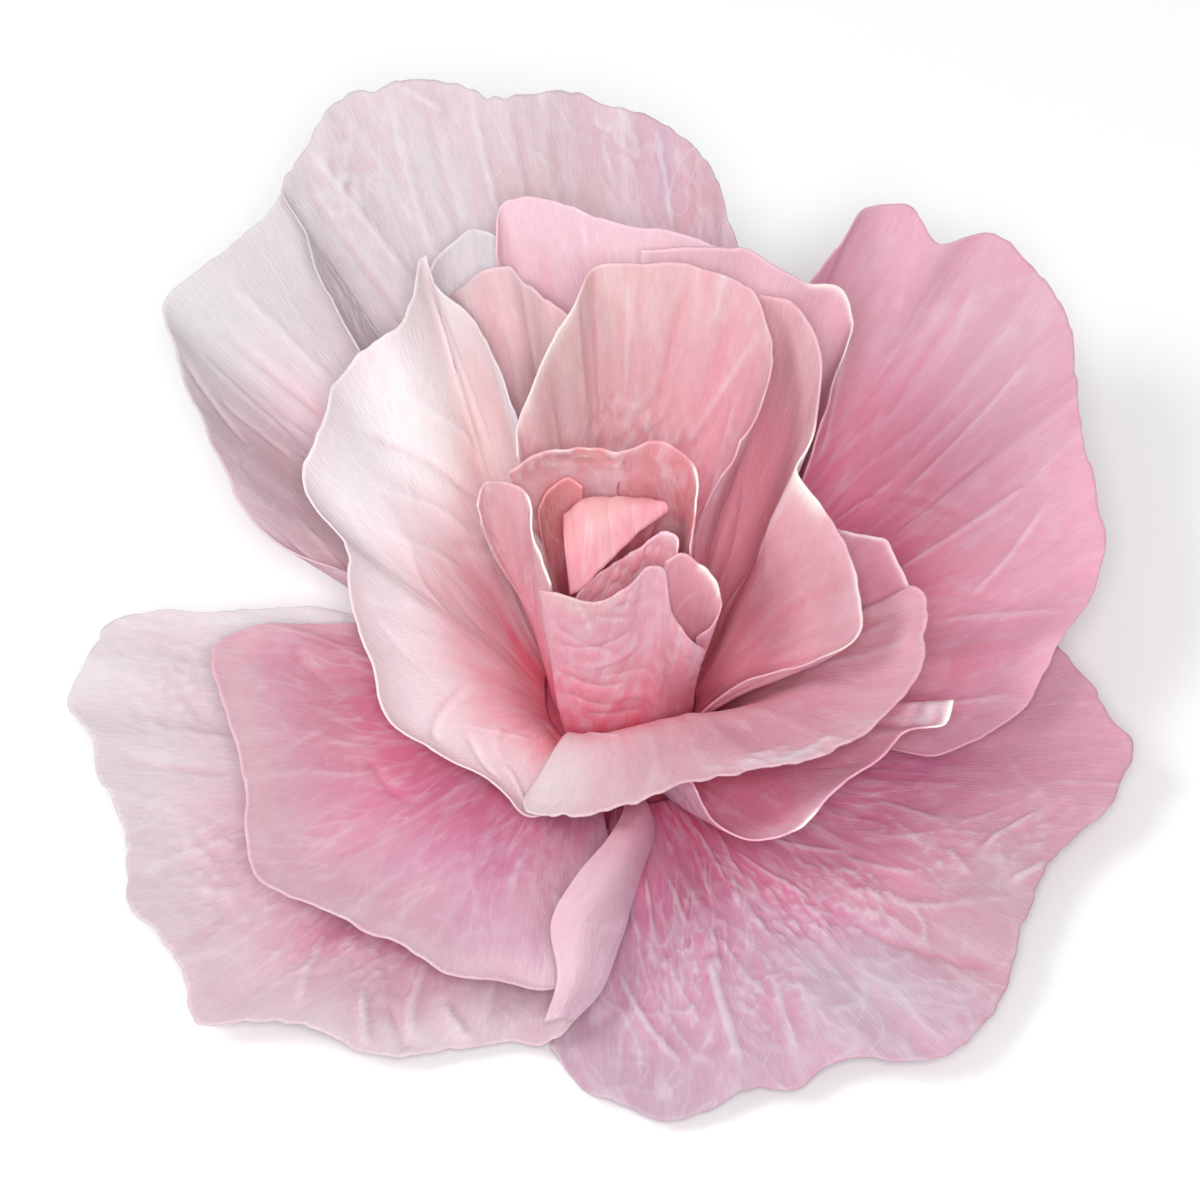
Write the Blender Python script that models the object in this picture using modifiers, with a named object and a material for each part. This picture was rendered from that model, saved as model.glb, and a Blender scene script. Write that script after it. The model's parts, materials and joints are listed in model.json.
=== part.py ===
"""Crepe paper peony: twenty-four petals cut from crepe paper, cupped and curled by hand,
standing in rings on a small card disc.

Blender's metres, Z up. The disc's underside rests on the floor at z = 0, with its centre at
the origin. +X is the right of the bloom, +Y its back, where the petals stand tallest.
Numbers below are millimetres and degrees. An azimuth is measured from +X towards +Y.
"""

import bpy
import numpy as np

MM = 0.001
PAPER = 0.5  # two layers of heavy crepe laminated back to back
GAP = 1.6  # from one petal's middle surface to the next one's, measured round the hub
HUB_Z = -18.0  # the petals fan out from a point a little under the disc
DISC_RADIUS = 29.0
DISC_THICKNESS = 1.5
FOOT_Z = 2.1  # the petals' feet stand just clear of the card
FINE_U, FINE_V = 49, 33  # the surface is worked out on this grid, then thinned
PULL = (0.38, 0.34)  # how far the slopes at the foot and at the edge carry into the petal
COLUMN = 5.5  # rough distance between mesh columns along a petal's edge
MOST_COLUMNS = 25
ROW = 7.0

CARD = (0.72, 0.30, 0.38)
CREPES = {
    "crepe_white": (0.87, 0.80, 0.81),
    "crepe_blush": (0.84, 0.66, 0.71),
    "crepe_rose": (0.82, 0.56, 0.63),
    "crepe_coral": (0.80, 0.48, 0.53),
}

# Innermost first, because each petal lies outside those before it.
# foot: the glued arc, from the azimuth of the edge's first point to that of its last, then its
# radius at each (and halfway, where there are three).
# rise: slope of the paper where it leaves the disc, at the left, middle and right.
# tip: slope at the free edge. edge: the free edge, from one end to the other.
PETALS = {
    "heart_petal_1": dict(
        foot=(205, 125, 6.6, 6.6),
        rise=(84, 84, 84),
        tip=(78, 88, 88),
        paper="crepe_coral",
        edge=[(-13, 5, 38), (-13, 7, 43), (-11, 9, 45), (-8, 10, 46), (-6, 9, 45)],
    ),
    "heart_petal_2": dict(
        paper="crepe_coral",
        sections=[
            [(-4.3, 2.4, 2.1), (0, 4.6, 2.1), (4.3, 2.4, 2.1)],
            [(-6, 3, 22), (-0.5, 5.4, 22), (5.5, 3, 22)],
            [(-8, 4, 37), (-1, 6.4, 38), (6, 5, 39)],
            [(-9, 4.5, 43), (-6, 6, 45), (-1, 6.6, 45), (4, 6.2, 45), (8, 4.5, 46)],
            [(-9, 0, 42.5), (-5, 1.5, 45), (0, 3.5, 45.5), (5, 4.5, 45.5), (8.5, 4, 46)],
            [(-8, -7, 36), (-5, -6, 38), (-1, -3, 41), (4, 1, 43), (8.5, 3.5, 45)],
        ],
    ),
    "heart_petal_3": dict(
        foot=(-103, -17, 6, 6),
        rise=(82, 82, 82),
        tip=(84, 88, 86),
        paper="crepe_coral",
        edge=[(-9, -8, 33), (-4, -4, 37), (3, -1, 40), (8, 0, 44), (10, -2, 45), (10, -5, 44)],
    ),
    "bud_petal_back": dict(
        foot=(122, 28, 9, 9),
        rise=(80, 80, 80),
        tip=(80, 76, 92),
        paper="crepe_coral",
        edge=[(-16, 7, 50), (-12, 8, 52), (-6, 9, 53), (1, 9, 54), (8, 9, 56), (12, 6, 55), (13, -2, 52), (12, -7, 47)],
    ),
    "bud_petal_left": dict(
        foot=(235, 155, 11.2, 11.2),
        rise=(80, 78, 78),
        tip=(86, 84, 80),
        paper="crepe_coral",
        edge=[(-11, -10, 42), (-14, -3, 46), (-16, 4, 50), (-20, 6, 50), (-23, 4, 50), (-23, 0, 46)],
    ),
    "bud_petal_right": dict(
        foot=(-60, -8, 12, 12),
        rise=(78, 78, 78),
        tip=(76, 76, 76),
        paper="crepe_rose",
        edge=[(8, -11, 49), (11, -10, 50), (14, -11, 48), (16, -12, 45), (17, -13, 42), (16, -14, 37), (13, -14, 33)],
    ),
    "bud_petal_front": dict(
        foot=(-131, -32, 13.4, 13.6),
        rise=(82, 82, 82),
        tip=(86, 88, 88),
        paper="crepe_rose",
        edge=[(-13, -12, 43), (-10, -14, 44), (-7, -15, 44), (-3, -15, 44), (2, -14, 47), (5, -13, 50), (7, -13, 50), (8, -14, 46), (9, -15, 40), (12, -16, 35), (14, -14, 31)],
    ),
    "inner_petal_back": dict(
        foot=(128, 27, 12.2, 12.4),
        rise=(68, 66, 68),
        tip=(70, 72, 74),
        paper="crepe_blush",
        edge=[(-17, 15, 46), (-17, 19, 50), (-15, 21, 55), (-12, 27, 60), (-8, 32, 64), (-4, 39, 67), (4, 39, 68), (14, 38, 68), (23, 35, 65), (26, 28, 61), (24, 18, 57), (19, 10, 52), (14, 4, 46)],
    ),
    "inner_petal_right": dict(
        foot=(44, -51, 14.2, 13.5, 15.2),
        rise=(66, 68, 66),
        tip=(76, 70, 52),
        paper="crepe_rose",
        edge=[(16, 33, 62), (23, 34, 64), (28, 33, 65), (31, 29, 64), (34, 21, 61), (33, 15, 58), (32, 10, 55), (30, 5, 54), (33, 0, 52), (37, -6, 48), (40, -12, 44), (41, -17, 41), (39, -19, 38), (34, -19, 34), (28, -18, 30), (22, -17, 26)],
    ),
    "middle_petal_south": dict(
        foot=(-116, -2, 15.2, 17),
        rise=(84, 88, 62),
        tip=(20, 26, 52),
        pull=(0.6, 0.4),
        paper="crepe_blush",
        edge=[(-16, -36, 17), (-15, -40, 18), (-10, -42, 20), (-1, -43, 24), (4, -43, 26), (12, -40, 28), (19, -40, 29), (30, -38, 30), (40, -35, 32), (47, -28, 34), (50, -23, 36), (51, -15, 39), (51, -11, 40), (48, -9, 40)],
    ),
    "middle_petal_west": dict(
        foot=(240, 130, 14.8, 12.4, 12.8),
        rise=(74, 60, 60),
        tip=(54, 48, 50),
        pull=(0.42, 0.36),
        paper="crepe_white",
        edge=[(-7, -35, 16), (-15, -37, 15), (-20, -31, 14), (-29, -25, 16), (-38, -21, 20), (-42, -11, 25), (-45, 2, 30), (-46, 8, 32), (-50, 12, 34), (-53, 17, 36), (-51, 28, 40), (-46, 40, 43), (-39, 45, 45), (-33, 60, 48), (-30, 52, 48), (-28, 50, 48), (-22, 42, 46), (-17, 30, 42)],
    ),
    "inner_petal_north_west": dict(
        foot=(126, 104, 15.6, 16.2),
        rise=(56, 56, 58),
        tip=(62, 62, 66),
        paper="crepe_white",
        edge=[(-28, 44, 36), (-28, 50, 43), (-24, 54, 50), (-19, 55, 51), (-16, 51, 51), (-12, 45, 52), (-7, 41, 52)],
    ),
    "middle_petal_north_east": dict(
        foot=(87, 9, 15.4, 16.8),
        rise=(58, 56, 54),
        tip=(66, 66, 74),
        paper="crepe_blush",
        edge=[(4, 48, 62), (14, 48, 63), (21, 48, 62), (28, 45, 60), (32, 44, 58), (38, 44, 56), (40, 40, 54), (39, 34, 54), (37, 28, 53), (34, 18, 52), (32, 12, 50)],
    ),
    "middle_petal_north": dict(
        foot=(126, 62, 17.8, 17.4),
        rise=(58, 56, 56),
        tip=(64, 62, 66),
        paper="crepe_blush",
        edge=[(-21, 57, 52), (-20, 64, 56), (-12, 62, 60), (-5, 57, 61), (4, 53, 62), (12, 51, 62), (19, 49, 60)],
    ),
    "middle_petal_north_west": dict(
        foot=(146, 116, 19.4, 19.8),
        rise=(56, 54, 56),
        tip=(62, 62, 64),
        paper="crepe_white",
        edge=[(-35, 57, 42), (-31, 63, 45), (-26, 66, 48), (-20, 62, 50), (-16, 63, 47), (-13, 60, 42)],
    ),
    "middle_petal_east": dict(
        foot=(28, -34, 18.8, 18.8),
        rise=(48, 48, 48),
        tip=(66, 56, 50),
        paper="crepe_rose",
        edge=[(30, 3, 48), (35, 0, 45), (40, 1, 42), (45, 1, 40), (47, -2, 38), (49, -6, 36), (50, -14, 32)],
    ),
    "lower_petal_south_east": dict(
        foot=(-86, -12, 17.8, 21.4),
        rise=(26, 24, 30),
        tip=(44, 44, 36),
        paper="crepe_rose",
        edge=[(12, -34, 22), (13, -37, 20), (15, -40, 18), (19, -43, 17), (25, -45, 18), (30, -44, 20), (35, -39, 22), (43, -33, 24), (49, -28, 26), (55, -27, 27), (56, -24, 29)],
    ),
    "outer_petal_east": dict(
        foot=(-18, 66, 23.2, 20.8),
        rise=(24, 28, 32),
        tip=(24, 26, 40),
        paper="crepe_rose",
        edge=[(47, -21, 12), (53, -24, 14), (59, -22, 15), (65, -19, 17), (71, -14, 20), (74, -8, 24), (82, 6, 26), (83, 12, 28), (82, 23, 30), (80, 38, 32), (80, 49, 33), (79, 58, 35), (73, 69, 37), (66, 74, 39), (57, 71, 40), (51, 77, 43), (45, 76, 44), (39, 66, 44), (33, 57, 44)],
    ),
    "side_petal_south": dict(
        paper="crepe_blush",
        sections=[
            [(-4.6, -18.4, 2.1), (-2.0, -18.9, 2.1), (0.6, -19.0, 2.1)],
            [(1, -36, 15), (4, -36, 15), (6, -36, 9)],
            [(-2, -46, 19), (2, -46, 18), (4, -46, 11)],
            [(-7, -54, 20), (-2, -54, 19), (2, -54, 11)],
            [(-11, -61, 17), (-6, -60, 18), (0, -61, 10)],
            [(-10, -69, 12), (-7, -68, 13), (-3, -69, 8)],
            [(-12, -76, 10), (-10, -76, 11), (-7, -75, 9)],
        ],
    ),
    "lower_petal_south_west": dict(
        foot=(262, 172, 21.2, 19.6),
        rise=(30, 24, 28),
        tip=(28, 34, 28),
        paper="crepe_rose",
        edge=[(1, -50, 8), (-4, -60, 10), (-11, -68, 13), (-19, -68, 15), (-27, -69, 15), (-36, -65, 16), (-49, -59, 17), (-59, -52, 17), (-62, -45, 18), (-62, -36, 20), (-65, -25, 22), (-67, -17, 23), (-68, -8, 24), (-62, -3, 23), (-54, 0, 20), (-43, 4, 15)],
    ),
    "outer_petal_north": dict(
        foot=(56, 140, 23.6, 22.2),
        rise=(38, 36, 38),
        tip=(44, 28, 44),
        paper="crepe_white",
        edge=[(22, 66, 42), (19, 76, 45), (17, 83, 47), (12, 88, 48), (8, 91, 50), (1, 93, 51), (-8, 96, 52), (-15, 96, 52), (-21, 94, 52), (-27, 97, 53), (-39, 99, 52), (-48, 96, 50), (-56, 86, 46), (-59, 79, 44), (-56, 72, 43), (-53, 64, 42), (-49, 56, 40), (-45, 47, 38)],
    ),
    "outer_petal_west": dict(
        foot=(176, 114, 22.4, 25.2),
        rise=(26, 26, 26),
        tip=(34, 30, 32),
        paper="crepe_white",
        edge=[(-42, 11, 16), (-46, 11, 20), (-56, 14, 23), (-63, 18, 26), (-69, 28, 30), (-73, 38, 32), (-77, 50, 34), (-79, 61, 36), (-77, 64, 37), (-71, 68, 38), (-63, 78, 39), (-56, 86, 40), (-48, 90, 40)],
    ),
    "outer_petal_south_west": dict(
        foot=(256, 182, 24.8, 24.2, 24.2),
        rise=(18, 10, 14),
        tip=(6, 14, 8),
        paper="crepe_blush",
        edge=[(-7, -72, 8), (-11, -76, 7), (-19, -75, 5), (-31, -78, 5), (-41, -79, 5), (-48, -76, 6), (-57, -73, 6), (-63, -74, 6), (-69, -73, 6), (-71, -67, 7), (-77, -57, 8), (-81, -52, 9), (-82, -37, 10), (-88, -27, 12), (-90, -19, 13), (-94, -12, 14), (-90, -4, 16), (-86, 4, 16), (-69, 6, 16), (-55, 8, 14), (-44, 8, 12)],
    ),
    "outer_petal_south_east": dict(
        foot=(-92, -20, 25.4, 25.8),
        rise=(8, 8, 10),
        tip=(2, 6, 12),
        paper="crepe_blush",
        edge=[(-11, -75, 6), (-8, -81, 5), (-2, -86, 4), (3, -89, 4), (8, -91, 4), (15, -89, 4), (20, -86, 5), (28, -85, 5), (38, -81, 6), (46, -81, 6), (56, -79, 7), (63, -70, 7), (66, -61, 8), (69, -50, 8), (74, -40, 9), (81, -33, 10), (86, -25, 11), (87, -19, 12), (84, -16, 13), (81, -10, 14), (75, -2, 16)],
    ),
}

AZIMUTH_BINS = 720
REACH_STEP = 1.0
REACH_BINS = 160


def smooth_curve(points, n):
    """n points, evenly spaced, on a smooth curve through the given ones."""
    points = np.asarray(points, float)
    along = np.r_[0, np.cumsum(np.linalg.norm(np.diff(points, axis=0), axis=1))]
    step = np.diff(along)[:, None]
    chord = np.diff(points, axis=0) / step
    slope = np.empty_like(points)
    slope[1:-1] = (chord[:-1] * step[1:] + chord[1:] * step[:-1]) / (step[1:] + step[:-1])
    slope[0], slope[-1] = chord[0], chord[-1]
    at = np.linspace(0, along[-1], n)
    k = np.clip(np.searchsorted(along, at, side="right") - 1, 0, len(points) - 2)
    h = step[k]
    s = (at - along[k])[:, None] / h
    return (
        (2 * s**3 - 3 * s**2 + 1) * points[k]
        + (s**3 - 2 * s**2 + s) * h * slope[k]
        + (3 * s**2 - 2 * s**3) * points[k + 1]
        + (s**3 - s**2) * h * slope[k + 1]
    )


def strip_surface(sections):
    """A smooth surface through sections laid across a petal, from its foot to its tip."""
    across = np.stack([smooth_curve(section, FINE_U) for section in sections])
    return np.stack([smooth_curve(across[:, k], FINE_V) for k in range(FINE_U)], 1)


def petal_surface(foot, rise, tip, edge, pull=PULL):
    """The petal's middle surface: rows of points from its foot on the disc to its free edge."""
    u = np.linspace(-1, 1, FINE_U)
    v = np.linspace(0, 1, FINE_V)[:, None, None]
    rim = smooth_curve(edge, FINE_U)
    angle = np.radians(np.interp(u, [-1, 1], foot[:2]))
    radius = np.interp(u, np.linspace(-1, 1, len(foot) - 2), foot[2:])[:, None]
    radial = np.stack([np.cos(angle), np.sin(angle), 0 * angle], -1)
    base = radial * radius
    base[:, 2] = FOOT_Z
    reach = rim - base
    length = np.linalg.norm(reach, axis=1)[:, None]
    flat = reach * (1, 1, 0)
    flat /= np.linalg.norm(flat, axis=1)[:, None]
    leave = flat + radial
    leave /= np.linalg.norm(leave, axis=1)[:, None]
    up = np.array([0, 0, 1.0])
    low = np.radians(np.interp(u, [-1, 0, 1], rise))[:, None]
    high = np.radians(np.interp(u, [-1, 0, 1], tip))[:, None]
    lower = base + (leave * np.cos(low) + up * np.sin(low)) * length * pull[0]
    upper = rim - (flat * np.cos(high) + up * np.sin(high)) * length * pull[1]
    return (1 - v) ** 3 * base + 3 * (1 - v) ** 2 * v * lower + 3 * (1 - v) * v**2 * upper + v**3 * rim


def to_polar(points):
    x, y, z = points[..., 0], points[..., 1], points[..., 2] - HUB_Z
    flat = np.hypot(x, y)
    return np.arctan2(y, x), np.hypot(flat, z), np.arctan2(flat, z)


def from_polar(azimuth, reach, lean):
    return np.stack(
        [
            reach * np.sin(lean) * np.cos(azimuth),
            reach * np.sin(lean) * np.sin(azimuth),
            reach * np.cos(lean) + HUB_Z,
        ],
        -1,
    )


def bins(azimuth, reach):
    i = np.floor((azimuth / (2 * np.pi)) % 1 * AZIMUTH_BINS).astype(int) % AZIMUTH_BINS
    return i, np.clip((reach / REACH_STEP).astype(int), 0, REACH_BINS - 1)


def refine(surface, times):
    """More rows and columns, by straight interpolation."""
    rows = np.linspace(0, surface.shape[0] - 1, (surface.shape[0] - 1) * times + 1)
    low = np.clip(rows.astype(int), 0, surface.shape[0] - 2)
    part = (rows - low)[:, None, None]
    surface = surface[low] * (1 - part) + surface[low + 1] * part
    columns = np.linspace(0, surface.shape[1] - 1, (surface.shape[1] - 1) * times + 1)
    low = np.clip(columns.astype(int), 0, surface.shape[1] - 2)
    part = (columns - low)[None, :, None]
    return surface[:, low] * (1 - part) + surface[:, low + 1] * part


def spread(grid, wrap=False):
    """The largest value among each cell and its neighbours."""
    out = grid.copy()
    for axis in (0, 1):
        ahead, behind = np.roll(out, 1, axis), np.roll(out, -1, axis)
        if not (wrap and axis == 0):
            edge = [slice(None), slice(None)]
            edge[axis] = 0
            ahead[tuple(edge)] = out[tuple(edge)]
            edge[axis] = -1
            behind[tuple(edge)] = out[tuple(edge)]
        out = np.maximum(out, np.maximum(ahead, behind))
    return out


def blurred(grid):
    wide = np.pad(grid, 1, mode="edge")
    return (
        2 * wide[1:-1, 1:-1] + wide[:-2, 1:-1] + wide[2:, 1:-1] + wide[1:-1, :-2] + wide[1:-1, 2:]
    ) / 6


def nested(surfaces):
    """Each petal leaned outwards just enough to lie outside all those before it."""
    lean_so_far = np.full((AZIMUTH_BINS, REACH_BINS), -1.0)
    out = {}
    free = np.clip(np.arange(FINE_V) / 4, 0, 1)[:, None]  # the glued feet stay where they are
    for name, surface in surfaces.items():
        azimuth, reach, lean = to_polar(surface)
        i, j = bins(azimuth, reach)
        inner = spread(spread(lean_so_far, True), True)[i, j]
        short = np.where(inner > 0, inner + GAP / reach - lean, 0).clip(0)
        if not name.startswith("heart"):
            need = spread(short)
            push = need
            for _ in range(60):
                push = np.maximum(need, blurred(push))
            lean = lean + blurred(push) * free
        surface = from_polar(azimuth, reach, lean)
        out[name] = surface
        azimuth, reach, lean = to_polar(refine(surface, 5))
        np.maximum.at(lean_so_far, bins(azimuth, reach), lean)
    return out


def thinned(surface):
    """The surface on fewer rows and columns."""
    across = np.linalg.norm(np.diff(surface[-1], axis=0), axis=1).sum()
    along = np.linalg.norm(np.diff(surface[:, FINE_U // 2], axis=0), axis=1).sum()
    columns = int(np.clip(across / COLUMN, 7, MOST_COLUMNS)) + 1
    rows = int(np.clip(along / ROW, 5, 9)) + 1
    r = np.linspace(0, FINE_V - 1, rows).round().astype(int)
    c = np.linspace(0, FINE_U - 1, columns).round().astype(int)
    return surface[np.ix_(r, c)]


def material(name, colour, roughness):
    made = bpy.data.materials.new(name)
    made.use_nodes = True
    shader = made.node_tree.nodes["Principled BSDF"]
    shader.inputs["Base Color"].default_value = (*[c**2.2 for c in colour], 1)
    shader.inputs["Roughness"].default_value = roughness
    made.diffuse_color = (*[c**2.2 for c in colour], 1)
    return made


def add(name, mesh, into, look):
    mesh.materials.append(look)
    made = bpy.data.objects.new(name, mesh)
    into.objects.link(made)
    return made


def petal(name, surface, into, look):
    rows, columns = surface.shape[:2]
    index = np.arange(rows * columns).reshape(rows, columns)
    faces = np.stack([index[:-1, :-1], index[:-1, 1:], index[1:, 1:], index[1:, :-1]], -1).reshape(-1, 4)
    mesh = bpy.data.meshes.new(name)
    mesh.from_pydata((surface.reshape(-1, 3) * MM).tolist(), [], faces.tolist())
    made = add(name, mesh, into, look)
    thick = made.modifiers.new("paper", "SOLIDIFY")
    thick.thickness = PAPER * MM
    thick.offset = 0
    thick.use_even_offset = False
    return made


def disc(into, look):
    turn = np.linspace(0, 2 * np.pi, 65)[:-1]
    ring = np.stack([np.cos(turn), np.sin(turn)], -1) * DISC_RADIUS
    points = [(x * MM, y * MM, z * MM) for z in (0, DISC_THICKNESS) for x, y in ring]
    n = len(turn)
    faces = [tuple(range(n))[::-1], tuple(range(n, 2 * n))]
    faces += [(i, (i + 1) % n, n + (i + 1) % n, n + i) for i in range(n)]
    mesh = bpy.data.meshes.new("backing_disc")
    mesh.from_pydata(points, [], faces)
    return add("backing_disc", mesh, into, look)


for old in list(bpy.data.objects):
    bpy.data.objects.remove(old)
bloom = bpy.data.collections.new("crepe_paper_peony")
bpy.context.scene.collection.children.link(bloom)
disc(bloom, material("card", CARD, 0.9))
crepes = {name: material(name, colour, 0.85) for name, colour in CREPES.items()}
surfaces = nested(
    {
        name: strip_surface(p["sections"])
        if "sections" in p
        else petal_surface(p["foot"], p["rise"], p["tip"], p["edge"], p.get("pull", PULL))
        for name, p in PETALS.items()
    }
)
for name, surface in surfaces.items():
    petal(name, thinned(surface), bloom, crepes[PETALS[name]["paper"]])
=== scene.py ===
"""Looks of the crepe paper peony: each petal as a thin sheet of creased, dyed crepe paper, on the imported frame.

The petals' shapes are worked out from the same numbers as the solids, in millimetres, then
creased and ruffled. +X is the right of the bloom, +Y its back, Z up.
"""

import json
import math

import bpy
import numpy as np
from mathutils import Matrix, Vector

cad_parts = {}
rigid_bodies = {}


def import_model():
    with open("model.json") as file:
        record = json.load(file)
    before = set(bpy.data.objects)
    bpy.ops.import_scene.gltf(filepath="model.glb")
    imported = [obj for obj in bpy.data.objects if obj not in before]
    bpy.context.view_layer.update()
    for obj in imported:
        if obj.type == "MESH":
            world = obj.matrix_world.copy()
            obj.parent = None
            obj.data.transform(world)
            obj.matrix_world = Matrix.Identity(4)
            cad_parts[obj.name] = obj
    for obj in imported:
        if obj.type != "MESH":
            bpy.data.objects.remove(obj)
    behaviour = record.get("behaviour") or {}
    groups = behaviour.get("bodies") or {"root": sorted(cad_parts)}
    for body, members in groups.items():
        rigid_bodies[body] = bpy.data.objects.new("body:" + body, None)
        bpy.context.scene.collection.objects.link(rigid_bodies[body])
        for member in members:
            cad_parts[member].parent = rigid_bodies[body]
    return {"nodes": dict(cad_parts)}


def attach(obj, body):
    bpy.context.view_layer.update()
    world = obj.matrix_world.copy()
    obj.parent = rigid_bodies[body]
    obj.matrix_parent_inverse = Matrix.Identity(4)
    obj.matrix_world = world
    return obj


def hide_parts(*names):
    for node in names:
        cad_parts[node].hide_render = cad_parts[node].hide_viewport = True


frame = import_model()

MM = 0.001
GAP = 1.6  # from one petal's middle surface to the next one's, measured round the hub
HUB_Z = -18.0  # the petals fan out from a point a little under the disc
FOOT_Z = 2.1  # the petals' feet stand just clear of the card
FINE_U, FINE_V = 49, 33  # the surface is worked out on this grid, then thinned
PULL = (0.38, 0.34)  # how far the slopes at the foot and at the edge carry into the petal

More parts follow.
